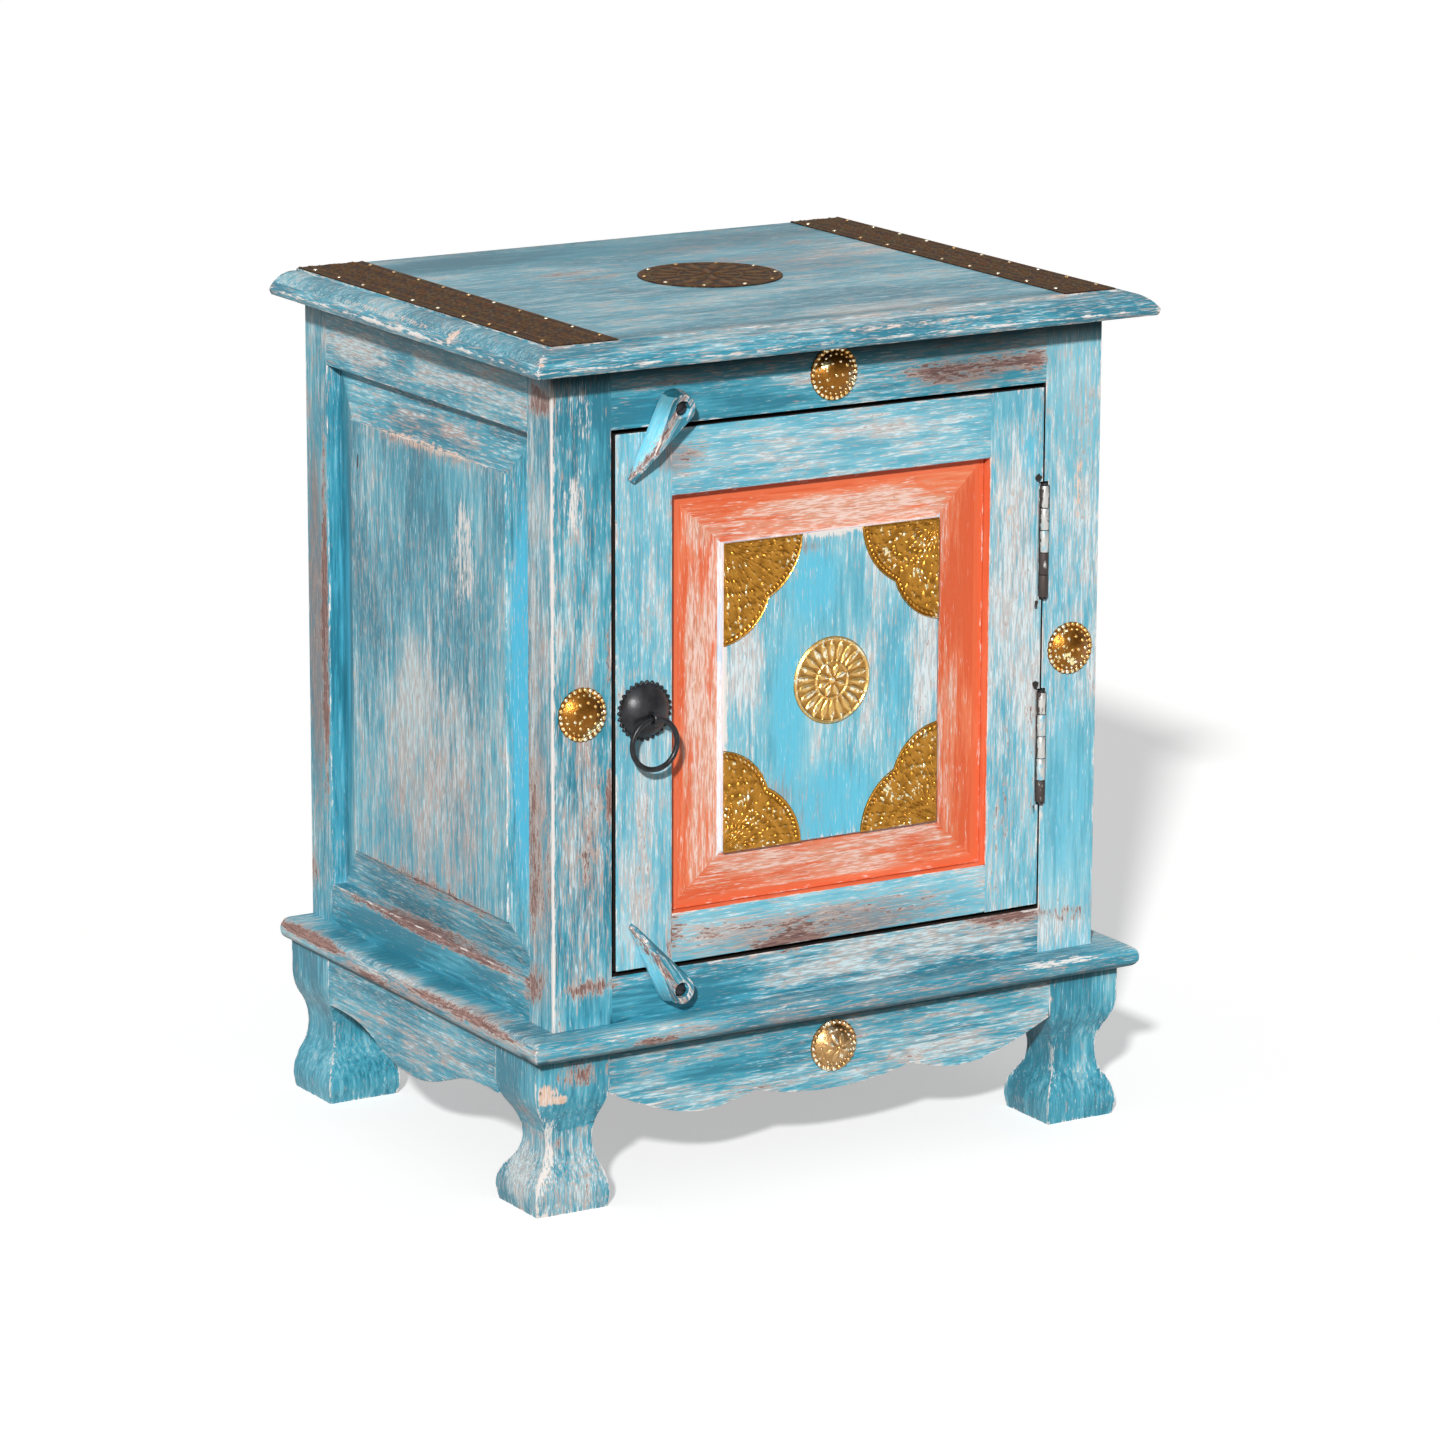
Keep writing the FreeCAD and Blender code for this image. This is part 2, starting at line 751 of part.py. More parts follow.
field_left = pane_left + door_bevel_side_width
field_right = pane_right - door_bevel_side_width
field_bottom = pane_bottom + door_bevel_end_width
field_top = pane_top - door_bevel_end_width
corner_reach_x = (field_right - field_left) * corner_reach_x_share
corner_reach_z = (field_top - field_bottom) * corner_reach_z_share
field_y = front_y + door_field_sink


def make_door_panel():
    grip = door_groove_depth - panel_play
    slip = panel_play / 2
    tongue = door_slot(pane_left - grip, pane_right + grip, pane_bottom - door_groove_depth, pane_top + grip)
    foot_y = front_y + door_bevel_sink
    shoulder_y = field_y + door_field_step
    pane = (pane_left + slip, pane_right - slip, pane_bottom + slip, pane_top - slip)
    field = (field_left, field_right, field_bottom, field_top)
    plinth = box(pane[0], pane[1], foot_y, door_groove_y, pane[2], pane[3])
    bevel = skinned([rect_xz(foot_y, *pane), rect_xz(shoulder_y, *field)])
    raised = box(field_left, field_right, field_y, shoulder_y, field_bottom, field_top)
    backing = box(pane[0], pane[1], door_groove_y + door_groove_width,
                  door_groove_y + door_groove_width + panel_back_thick, pane[2], pane[3])
    panel = tongue.fuse([plinth, bevel, raised, backing])
    save("door_panel", panel)


# Brass plates on the field: a scalloped corner, mirrored to all four
def make_corners():
    for up, way_z in {"top": 1, "bottom": -1}.items():
        for side, way_x in {"left": -1, "right": 1}.items():
            x0 = field_left if way_x < 0 else field_right
            z0 = field_top if way_z > 0 else field_bottom

            def at(share_x, share_z):
                x = x0 - way_x * corner_reach_x * share_x
                return point(x, field_y, z0 - way_z * corner_reach_z * share_z)

            inner = (corner_lobe_x_share, corner_lobe_z_share)
            bulge = corner_bulge_share / 2
            first = at((1 + inner[0]) / 2 + bulge / 2, inner[1] / 2 + bulge)
            second = at(inner[0] / 2 + bulge, (1 + inner[1]) / 2 + bulge / 2)
            low = Part.Arc(at(1, 0), first, at(*inner)).toShape()
            high = Part.Arc(at(*inner), second, at(0, 1)).toShape()
            edges = [low, high] + polyline([at(0, 1), at(0, 0), at(1, 0)])
            plate = Part.Face(Part.Wire(Part.__sortEdges__(edges))).extrude(-Y * plate_thick)
            save("door_corner_" + up + "_" + side, plate)


def turned(points, centre, sides):
    # points are (radius, height out of the face) pairs, turned about an axis along -Y
    return skinned([round_loop(centre - Y * h, r, X, Z, sides) for r, h in points])


def dome_points(base, radius, height):
    ball = (radius * radius + height * height) / (2 * height)
    edge = math.asin(radius / ball)
    points = []
    for k in range(dome_bands):
        angle = edge * (dome_bands - k) / dome_bands
        points.append((ball * math.sin(angle), base + height - ball * (1 - math.cos(angle))))
    crown = ball * math.sin(edge / dome_bands / 2)
    return points + [(crown, base + height)]


def make_rosette():
    centre = point(door_mid_x, field_y, ornament_z)
    rim = rosette_radius - rosette_rim
    hub = rosette_hub_radius
    high = rosette_thick + plate_thick
    outline = [(rosette_radius, 0), (rosette_radius, rosette_thick), (rim, rosette_thick),
               (rim, plate_thick), (hub, plate_thick), (hub, rosette_thick), (hub / 2, high)]
    save("door_rosette", turned(outline, centre, rosette_sides))


# Ring pull: toothed plate with a dome, an eye and a loose ring
pull_x = (door_left + pane_left) / 2
pull_z = door_mid_z
eye_z = pull_z - eye_drop
eye_y = front_y - pull_flange_thick - pull_dome_height - ring_wire_radius - ring_hang


def pull_stem(radius):
    base = eye_y + ring_wire_radius + ring_play
    depth = front_y + door_thick - base
    return rod(point(pull_x, base, eye_z), Y * depth, radius)


def make_pull():
    centre = point(pull_x, front_y, pull_z)
    rim = []
    for k in range(2 * pull_tooth_count):
        radius = pull_flange_radius * (1 if k % 2 else pull_tooth_share)
        angle = math.radians(half_turn * k / pull_tooth_count)
        rim.append(point(pull_x + radius * math.cos(angle), front_y, pull_z + radius * math.sin(angle)))
    flange = Part.Face(Part.makePolygon(rim + rim[:1])).extrude(-Y * pull_flange_thick)
    cap = turned(dome_points(pull_flange_thick, pull_dome_radius, pull_dome_height), centre, dome_sides)
    plate = flange.fuse(cap)
    save("pull_plate", plate.cut(pull_stem(eye_stem_radius)))
    eye_x = pull_x - eye_width / 2
    eye = rod(point(eye_x, eye_y, eye_z), X * eye_width, eye_radius)
    bore_start = point(eye_x - overrun, eye_y, eye_z)
    bore = rod(bore_start, X * (eye_width + 2 * overrun), ring_wire_radius + ring_play)
    save("pull_staple", eye.cut(plate).fuse(pull_stem(eye_stem_radius)).cut(bore))
    hub = point(pull_x, eye_y, eye_z - ring_radius)
    wires = []
    for k in range(ring_step_count):
        angle = math.radians(full_turn * (k + 0.5) / ring_step_count)
        outward = X * math.sin(angle) + Z * math.cos(angle)
        wires.append(round_loop(hub + outward * ring_radius, ring_wire_radius, outward, Y, ring_wire_sides))
    save("pull_ring", skinned(wires, True))


# Butt hinges: leaves in the gap, knuckles on a pin just in front of the face
def hinge_leaf(way, middle):
    low = middle - hinge_length / 2
    step = hinge_length / knuckle_count
    mine = [k for k in range(knuckle_count) if (k % 2 == 0) == (way > 0)]
    others = [k for k in range(knuckle_count) if k not in mine]
    inner = hinge_x + way * leaf_gap / 2
    x0, x1 = sorted((inner, inner + way * leaf_thick))
    plate = box(x0, x1, hinge_y, hinge_y + leaf_reach, low, low + hinge_length)
    for k in others:
        z = low + k * step - knuckle_play / 2
        room = rod(point(hinge_x, hinge_y, z), Z * (step + knuckle_play), barrel_radius + barrel_play)
        plate = plate.cut(room)
    knuckles = []
    for k in mine:
        start = low + k * step + (knuckle_play / 2 if k > 0 else 0)
        end = low + (k + 1) * step - (knuckle_play / 2 if k < knuckle_count - 1 else 0)
        knuckles.append(rod(point(hinge_x, hinge_y, start), Z * (end - start), barrel_radius))
    bore_radius = pin_radius if way > 0 else pin_radius + pin_play
    bore = rod(point(hinge_x, hinge_y, low - overrun), Z * (hinge_length + 2 * overrun), bore_radius)
    return plate.fuse(knuckles).cut(bore)


def hinge_pin(middle):
    low = middle - hinge_length / 2
    shaft = rod(point(hinge_x, hinge_y, low), Z * hinge_length, pin_radius)
    heads = [rod(point(hinge_x, hinge_y, z), Z * pin_head_height, pin_head_radius)
             for z in (low - pin_head_height, low + hinge_length)]
    return shaft.fuse(heads)


def make_hinges():
    for place, middle in hinge_heights.items():
        save("hinge_" + place + "_case_leaf", hinge_leaf(1, middle))
        save("hinge_" + place + "_door_leaf", hinge_leaf(-1, middle))
    save("hinge_pins", Part.makeCompound([hinge_pin(middle) for middle in hinge_heights.values()]))


# Wooden turn latches on the rails
latch_heights = {"upper": door_open_top + latch_pivot_out, "lower": door_open_bottom - latch_pivot_out}
latch_back_y = front_y - latch_face_gap


def latch_loop(head_radius, length, tip_half, y):
    # the round head at the origin in short flats, and the two corners of the tip along -X
    spread = math.acos((head_radius - tip_half) / length)
    turn = 2 * (math.pi - spread) / latch_head_flats
    angles = [spread + turn * k for k in range(latch_head_flats + 1)]
    head = [point(-head_radius * math.cos(a), y, head_radius * math.sin(a)) for a in angles]
    return head + [point(-length, y, -tip_half), point(-length, y, tip_half)]


def make_latch(name, way):
    base = latch_loop(latch_head_radius, latch_length, latch_tip_half, 0)
    shoulder = latch_loop(latch_head_radius, latch_length, latch_tip_half, -latch_edge_thick)
    front = latch_loop(latch_front_head_radius, latch_front_length, latch_front_tip_half, -latch_thick)
    block = skinned([base, shoulder, front])
    bore = rod(Y * overrun, -Y * (latch_thick + 2 * overrun), latch_screw_radius + latch_bore_play)
    sink = rod(-Y * (latch_thick - latch_counterbore_depth), -Y * (latch_counterbore_depth + overrun),
               latch_counterbore_radius)
    latch = block.cut([bore, sink])
    latch.rotate(point(0, 0, 0), Y, way * latch_turn)
    latch.translate(point(-latch_pivot_x, latch_back_y, latch_heights[name]))
    save("latch_" + name, latch)


def latch_screw_shanks(radius):
    start = front_y + latch_screw_depth
    head_back = latch_back_y - latch_thick + latch_counterbore_depth - latch_head_play
    along = -Y * (start - head_back)
    return [rod(point(-latch_pivot_x, start, z), along, radius) for z in latch_heights.values()]


def make_latches():
    make_latch("upper", -1)
    make_latch("lower", 1)
    head_back = latch_back_y - latch_thick + latch_counterbore_depth - latch_head_play
    screws = []
    for shank, z in zip(latch_screw_shanks(latch_screw_radius), latch_heights.values()):
        head = rod(point(-latch_pivot_x, head_back, z), -Y * latch_screw_head_height, latch_screw_head_radius)
        screws.append(shank.fuse(head))
    save("latch_screws", Part.makeCompound(screws))


# Domed brass studs on the posts, the top rail and the front apron
post_mid_x = (half_body + inner_x) / 2
stud_places = [
    point(-post_mid_x, front_y, ornament_z),
    point(post_mid_x, front_y, ornament_z),
    point(0, front_y, (door_open_top + top_bottom) / 2),
    point(0, front_apron_y, board_bottom - front_apron_drop / 2 + ornament_lift),
]


def stud_shanks():
    return [rod(place, Y * stud_shank_length, stud_shank_radius) for place in stud_places]


def make_studs():
    studs = []
    for place, shank in zip(stud_places, stud_shanks()):
        rim = [(stud_radius, 0), (stud_radius, stud_rim_radius)]
        cap = dome_points(stud_rim_radius, stud_dome_radius, stud_dome_height)
        studs.append(turned(rim + cap, place, dome_sides).fuse(shank))
    save("studs", Part.makeCompound(studs))


# Cleat behind the top rail that the closed door meets
def make_stop():
    x = inner_x - stop_end_gap
    y = front_y + front_rail_thick
    z = door_open_top - stop_lip
    save("door_stop", box(-x, x, y, y + stop_thick, z, z + stop_width))


make_top()
make_posts()
make_rails()
make_panels()
make_board()
make_legs()
make_aprons()
make_door_frame()
make_door_panel()
make_corners()
make_rosette()
make_pull()
make_hinges()
make_latches()
make_studs()
make_stop()
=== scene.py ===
# Painted nightstand: worn blue and coral paint on brown wood, pressed brass, copper sheet, black iron.
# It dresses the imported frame. Sizes are millimetres unless a line says otherwise.
import json
import random
from math import atan2, cos, floor, hypot, pi, radians, sin, sqrt

import bmesh
import bpy
import numpy as np
from mathutils import Matrix, Vector


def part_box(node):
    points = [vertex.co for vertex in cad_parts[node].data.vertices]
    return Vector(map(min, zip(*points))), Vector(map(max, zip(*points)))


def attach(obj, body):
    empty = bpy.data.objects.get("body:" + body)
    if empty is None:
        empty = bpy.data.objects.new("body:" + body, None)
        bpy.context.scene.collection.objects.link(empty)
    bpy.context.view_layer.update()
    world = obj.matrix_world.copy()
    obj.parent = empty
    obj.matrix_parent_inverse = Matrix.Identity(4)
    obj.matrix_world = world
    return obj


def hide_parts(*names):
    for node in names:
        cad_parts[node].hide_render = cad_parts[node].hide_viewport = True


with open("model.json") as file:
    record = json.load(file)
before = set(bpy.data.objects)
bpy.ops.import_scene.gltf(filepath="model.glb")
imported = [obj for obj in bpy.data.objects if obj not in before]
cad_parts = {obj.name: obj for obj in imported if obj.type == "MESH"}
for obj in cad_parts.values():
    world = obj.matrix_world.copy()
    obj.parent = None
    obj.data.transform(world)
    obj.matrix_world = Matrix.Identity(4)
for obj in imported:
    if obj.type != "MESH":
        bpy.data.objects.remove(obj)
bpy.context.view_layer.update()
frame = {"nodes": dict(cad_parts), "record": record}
scene = bpy.context.scene
mm = 0.001


def linear(hexColour):
    parts = [int(hexColour[k:k + 2], 16) / 255 for k in (1, 3, 5)]
    return [v / 12.92 if v <= 0.04045 else ((v + 0.055) / 1.055) ** 2.4 for v in parts] + [1.0]


def addNode(tree, kind, links=None, **settings):
    node = tree.nodes.new(kind)
    for name, value in settings.items():
        setattr(node, name, value)
    for key, value in (links or {}).items():
        socket = node.inputs[key]
        if isinstance(value, bpy.types.NodeSocket):
            tree.links.new(value, socket)
        else:
            socket.default_value = linear(value) if isinstance(value, str) else value
    return node


def startMaterial(name):
    material = bpy.data.materials.new(name)
    material.use_nodes = True
    tree = material.node_tree
    tree.nodes.clear()
    place = addNode(tree, "ShaderNodeTexCoord").outputs["Object"]
    return material, tree, addNode(tree, "ShaderNodeMapping", {"Vector": place, "Scale": (1000, 1000, 1000)}).outputs[0]


# long soft noise along the grain: sizes are the width and length of one streak
def grain(place, axis, width, length, shift=0.0, detail=3.0, rough=0.55):
    tree = place.id_data
    scale = [1 / width] * 3
    scale["XYZ".index(axis)] = 1 / length
    moved = addNode(tree, "ShaderNodeMapping",
                    {"Vector": place, "Location": (shift, shift * 0.7, shift * 1.3), "Scale": scale})
    return addNode(tree, "ShaderNodeTexNoise",
                   {"Vector": moved.outputs[0], "Scale": 1.0, "Detail": detail, "Roughness": rough}).outputs[0]


# one coat over another: it shows where cover rises from low to high
def coat(under, colour, cover, low, high, most=1.0):
    tree = cover.id_data
    mask = addNode(tree, "ShaderNodeMapRange", {0: cover, 1: low, 2: high, 3: 0.0, 4: most},
                   interpolation_type="SMOOTHSTEP")
    mixed = addNode(tree, "ShaderNodeMix", {0: mask.outputs[0], 6: under, 7: colour}, data_type="RGBA")
    return mixed.outputs[2], mask.outputs[0]


# weighted sum of sockets: [(socket, weight), ...] plus a constant
def blendOf(parts, base=0.0):
    tree, total = parts[0][0].id_data, base
    for socket, weight in parts:
        total = addNode(tree, "ShaderNodeMath", {0: socket, 1: weight, 2: total}, operation="MULTIPLY_ADD").outputs[0]
    return total


def finishMaterial(colour, roughness, height, depth, metallic=0.0):
    tree = height.id_data
    bump = addNode(tree, "ShaderNodeBump", {"Height": height, "Distance": depth * mm})
    shader = addNode(tree, "ShaderNodeBsdfPrincipled",
                     {"Base Color": colour, "Roughness": roughness, "Metallic": metallic, "Normal": bump.outputs[0]})
    addNode(tree, "ShaderNodeOutputMaterial", {0: shader.outputs[0]})
    return shader


def newObject(name, data):
    made = bpy.data.objects.new(name, data)
    scene.collection.objects.link(made)
    return made


def meshFrom(bm, name, material=None, smooth=True):
    mesh = bpy.data.meshes.new(name)
    bm.to_mesh(mesh)
    bm.free()
    if material:
        mesh.materials.append(material)
    for face in mesh.polygons:
        face.use_smooth = smooth
    return mesh


def setValues(mesh, name, values):
    mesh.attributes.new(name, "FLOAT", "POINT").data.foreach_set("value", values)


# top_slab becomes topSlab
def pieceName(node):
    first, *rest = node.split("_")
    return first + "".join(word.capitalize() for word in rest)


cameraSetup = {"place": (-1.80717, -3.00660, 1.09317), "azimuth": -31.1034, "elevation": 13.7212, "roll": 0.1802,
               "lens": 152.835}


def makeCamera(c):
    a, e, r = (radians(c[key]) for key in ("azimuth", "elevation", "roll"))
    right = Vector((cos(a), sin(a), 0))
    back = Vector((sin(a) * cos(e), -cos(a) * cos(e), sin(e)))
    up = back.cross(right)
    turnedRight = cos(r) * right + sin(r) * up
    turnedUp = cos(r) * up - sin(r) * right
    camera = newObject("camera", bpy.data.cameras.new("camera"))
    camera.data.sensor_width = 36
    camera.data.lens = c["lens"]
    camera.data.clip_end = 50
    camera.matrix_world = Matrix.Translation(c["place"]) @ Matrix((turnedRight, turnedUp, back)).transposed().to_4x4()
    scene.camera = camera


makeCamera(cameraSetup)
print("camera placed")


# Mango wood with thin matt paint, brushed on in coats and rubbed back: streaky, chalky, brown where it is worn through.
# The real bristle marks are 0.3 to 0.6 mm wide, drawn here at 0.7 mm and more so that they show
bluePaint = {"deep": "#2B7C91", "blue": "#449EB4", "light": "#7CC3D3", "sky": "#4BB9DA", "mist": "#B6C8CB",
             "line": "#D6EAEE", "warm": "#CBAB9D", "grey": "#958B8B", "dark": "#62737A", "primer": "#CDB4A8",
             "wood": "#6C453F", "woodLight": "#9C766D", "rub": "#F1E9E3", "peach": "#E6C0A6", "mark": "#1D1512",
             "calm": 0.0}
doorPaint = {**bluePaint, "deep": "#5FB0C6", "blue": "#7CC4D6", "light": "#A2D7E3", "sky": "#66C6E0",
             "mist": "#C6D6DA", "line": "#E6F3F6", "warm": "#D6C0B6", "dark": "#869AA0"}
coralPaint = {"deep": "#DF6236", "blue": "#EA7B51", "light": "#F09A74", "sky": "#EF6C46", "mist": "#E9B09C",
              "line": "#F5DACF", "warm": "#D79877", "grey": "#C9A08C", "dark": "#B0604A", "primer": "#F0CBB2",
              "wood": "#A3523C", "woodLight": "#CF8466", "rub": "#F4E6DC", "peach": "#E6C0A6", "mark": "#5A2A1E",
              "calm": 0.0}
coralBand = {**coralPaint, "deep": "#E46E44", "blue": "#EA7C54", "light": "#F2956F", "calm": 0.9}
edgePaint = {**bluePaint, "deep": "#B3CDE4", "blue": "#CFDFF0", "light": "#E6ECF5", "sky": "#BFE2F0",
             "mist": "#E6E0E3", "line": "#FFFFFF", "warm": "#EBCFC6", "dark": "#A9B4C0"}
# paler paint for the latches' left flanks, standing partly for the light that falls on them
latchLitFlank = {**bluePaint, "deep": "#79D3EA", "blue": "#96E2F2", "light": "#B9EEF6", "mist": "#C8EBF0",
              "line": "#E8FBFD", "dark": "#6FB9CC", "calm": 0.4}
latchTeal = {**bluePaint, "calm": 0.8}


# the kinds of wear, and the painted shade, that a wooden piece carries as attributes
wearKinds = ("bare", "rub", "pale", "calm", "grey", "peach", "sky", "mark", "soot")
# streaks left by the brush: width, length, shift, detail, roughness
streaks = {
    "hair": (0.7, 8, 3, 2.0),  # single bristle marks, three coats of them
    "second": (0.8, 11, 71, 2.0),
    "third": (0.9, 14, 137, 2.0),
    "brush": (2.0, 30, 11, 3.0),  # strokes
    "patch": (11, 48, 23, 3.0),  # where the top coat is thin
    "slow": (50, 140, 37, 1.0),
    "chip": (1.5, 5, 51, 4.0, 0.65),  # ragged edges of the bare places
}


def makePaint(name, axis, c, turn=0.0):
    material, tree, place = startMaterial(name)
    seen = {key: addNode(tree, "ShaderNodeAttribute", attribute_name=key).outputs["Fac"]
            for key in (*wearKinds, "arris", "shift")}
    offset = addNode(tree, "ShaderNodeVectorMath", {0: seen["shift"], 1: (170.0, 230.0, 310.0)},
                     operation="MULTIPLY").outputs[0]
    place = addNode(tree, "ShaderNodeVectorMath", {0: place, 1: offset}, operation="ADD").outputs[0]
    if turn:
        place = addNode(tree, "ShaderNodeMapping", {"Vector": place, "Rotation": (0, radians(turn), 0)}).outputs[0]
    for key, settings in streaks.items():
        seen[key] = grain(place, axis, *settings)

    # weighs streaks, kinds of wear and masks of coats; quiet counts as far as the palette is calm
    def blend(base, quiet=0.0, **weights):
        return blendOf([(seen[key], weight) for key, weight in weights.items()], base + quiet * c["calm"])

    tone = blend(-0.68, -0.14, brush=0.9, patch=0.6, slow=0.9, pale=0.12, calm=-0.20)
    colour, _ = coat(c["deep"], c["blue"], tone, 0.30, 0.54)
    colour, _ = coat(colour, c["light"], tone, 0.50, 0.80)
    glaze = blend(-0.05, sky=0.7, brush=0.6)
    colour, _ = coat(colour, c["sky"], glaze, 0.40, 0.75)

    thin = blend(-0.68, -0.45, patch=1.0, brush=0.7, slow=0.5, pale=0.42, calm=-0.45, sky=-0.25, grey=-0.15)
    colour, seen["veil"] = coat(colour, c["mist"], thin, 0.38, 0.86, 0.66)
    dull = blend(-0.62, -0.2, brush=0.7, second=0.6, patch=0.6, grey=0.50, calm=-0.2)
    colour, _ = coat(colour, c["grey"], dull, 0.50, 0.86, 0.85)
    dark = blend(0.0, -0.06, third=1.0, veil=0.16, bare=0.18, calm=-0.06)
    colour, _ = coat(colour, c["dark"], dark, 0.58, 0.76, 0.6)
    warm = blend(0.0, -0.14, second=1.0, veil=0.24, bare=0.12, calm=-0.14)
    colour, _ = coat(colour, c["warm"], warm, 0.53, 0.70, 0.7)
    light = blend(-0.15, -0.10, hair=1.0, brush=0.3, veil=0.22, calm=-0.12, grey=-0.06)
    colour, _ = coat(colour, c["line"], light, 0.55, 0.74, 0.8)

    open = blend(-0.50, -0.12, chip=0.75, hair=0.6, patch=0.6, bare=0.42, arris=0.14, calm=-0.12)
    colour, _ = coat(colour, c["primer"], open, 0.65, 0.72, 0.8)
    wood, _ = coat(c["wood"], c["woodLight"], seen["second"], 0.42, 0.62)
    colour, seen["bareMask"] = coat(colour, wood, open, 0.70, 0.80, 0.9)

    rubbed = blend(-0.47, chip=0.45, hair=0.6, brush=0.5, rub=0.44, arris=0.42)
    colour, seen["rubMask"] = coat(colour, c["rub"], rubbed, 0.61, 0.74, 0.92)
    spot = blend(0.0, chip=0.6, peach=0.5)
    cream, _ = coat(c["peach"], "#F3E0D6", seen["second"], 0.42, 0.60)
    colour, _ = coat(colour, cream, spot, 0.52, 0.64)
    # dark marks: a knot, knocks on the foot, and the painted shade of the notches by the hinges
    hole = blend(0.0, chip=0.4, mark=0.7)
    colour, _ = coat(colour, c["mark"], hole, 0.56, 0.70)
    shadeAndGrimeCover = blend(-0.15, soot=1.0, brush=0.3)  # painted shade close under the overhanging boards, with some darker dirt in places
    colour, _ = coat(colour, "#0E2A30", shadeAndGrimeCover, 0.0, 1.0, 0.88)

    height = blend(0.0, hair=0.5, second=0.3, brush=0.6, chip=0.3, bareMask=-0.5, rubMask=0.3)
    rough = blend(0.43, bareMask=0.2, veil=0.15)
    # the painted shade also turns the sheen down, so that it reads near black
    shine = addNode(tree, "ShaderNodeMapRange", {0: seen["soot"], 3: 0.5, 4: 0.04}).outputs[0]
    tree.links.new(shine, finishMaterial(colour, rough, height, 0.25).inputs["Specular IOR Level"])
    return material


paint = {axis: makePaint("rubbedBluePaint" + axis, axis, bluePaint) for axis in "XYZ"}
lightPaint = {axis: makePaint("rubbedLightPaint" + axis, axis, doorPaint) for axis in "XZ"}
coral = {axis: makePaint("rubbedCoralPaint" + axis, axis, coralPaint) for axis in "XZ"}
solidCoral = {axis: makePaint("solidCoralPaint" + axis, axis, coralBand) for axis in "XZ"}
paleEdge = {axis: makePaint("paleEdgePaint" + axis, axis, edgePaint) for axis in "XZ"}


def makeStain():
    # thin dark stain on sawn wood: matt, brown-black, straight grain. Kept near black, so that where it shows in the
    # gaps round the door it also stands for their shade
    material, _, place = startMaterial("darkStainedWood")
    line = grain(place, "Z", 1.5, 60, 5, 4.0)
    slow = grain(place, "Z", 22, 90, 9, 2.0)
    tone = blendOf([(line, 0.7), (slow, 0.5)], -0.1)
    colour, _ = coat("#120C09", "#2E2018", tone, 0.35, 0.7)
    finishMaterial(colour, 0.8, line, 0.2)
    return material


stain = makeStain()


def makeBrass(name, low, mid, high, paintedGlint):
    # brass sheet 0.6 mm, pressed over a die: bright where it stands proud, brown lacquer left in the hollows. The pale
    # flecks are painted glints
    material, tree, place = startMaterial(name)
    relief = addNode(tree, "ShaderNodeAttribute", attribute_name="relief").outputs["Fac"]
    cloud = grain(place, "Z", 6, 8, 2, 4.0, 0.6)
    scratch = grain(place, "X", 0.6, 3, 7, 3.0)
    fleck = grain(place, "Z", 1.7, 3.6, 31, 2.0)
    bunch = grain(place, "Z", 11, 11, 63, 1.0)  # where the painted glints gather
    tone = blendOf([(relief, 0.55), (cloud, 0.45), (scratch, 0.3)], -0.26)
    colour, _ = coat(low, mid, tone, 0.02, 0.38)
    colour, _ = coat(colour, high, tone, 0.54, 0.90)
    shine = blendOf([(fleck, 1.0), (relief, 0.34), (bunch, 1.0)], -0.64)
    colour, paintedGlintMask = coat(colour, paintedGlint, shine, 0.67, 0.72)
    rough = blendOf([(cloud, 0.3), (paintedGlintMask, -0.12)], 0.20)
    bump = blendOf([(scratch, 0.5), (cloud, 1.0), (fleck, 0.8)])
    finishMaterial(colour, rough, bump, 0.25, 1.0)
    return material


brass = makeBrass("pressedBrassSheet", "#8C5C1E", "#C58B38", "#F4D284", "#FFF4C8")
rosetteBrass = makeBrass("brightBrassSheet", "#AE7C3A", "#E4B970", "#FFECB6", "#FFF8D8")
studBrass = makeBrass("domedBrassSheet", "#6A3C16", "#9C682A", "#D8A85C", "#FFF0B4")
paleBrass = makeBrass("rubbedBrassSheet", "#7E5A34", "#C49A66", "#EFD6AA", "#FFF6DC")


def makeCopper():
    # copper sheet gone brown and dull: red umber with olive, pinkish rubbed ridges and blotches
    material, tree, place = startMaterial("agedCopperSheet")
    relief = addNode(tree, "ShaderNodeAttribute", attribute_name="relief").outputs["Fac"]
    blotch = grain(place, "Y", 8, 15, 2, 4.0, 0.65)
    olive = grain(place, "Y", 4, 6, 14, 3.0, 0.6)
    speck = grain(place, "Y", 1.1, 1.8, 8, 3.0)
    tone = blendOf([(relief, 0.40), (blotch, 0.8), (speck, 0.45)], -0.40)
    colour, _ = coat("#2E1A0C", "#5C3A1C", tone, 0.2, 0.5)
    colour, _ = coat(colour, "#82603A", tone, 0.5, 0.85)
    colour, _ = coat(colour, "#574D2A", blendOf([(olive, 1.0), (speck, 0.3)], -0.1), 0.54, 0.70, 0.6)
    colour, _ = coat(colour, "#C0A694", blendOf([(speck, 1.0), (relief, 0.12)], -0.03), 0.70, 0.80, 0.6)
    rough = blendOf([(blotch, 0.3)], 0.55)
    finishMaterial(colour, rough, speck, 0.12, 0.10).inputs["Specular IOR Level"].default_value = 0.22
    return material


copper = makeCopper()


def makeIron():
    # cast iron with black lacquer: blue-black, half gloss, faint pitting
    material, _, place = startMaterial("blackLacqueredIron")
    pit = grain(place, "Z", 1.1, 1.1, 4, 3.0)
    cloud = grain(place, "Z", 8, 8, 9, 2.0)
    colour, _ = coat("#141416", "#2C2B30", cloud, 0.35, 0.7)
    rough = blendOf([(cloud, 0.3)], 0.22)
    finishMaterial(colour, rough, pit, 0.08, 0.2)
    return material


iron = makeIron()


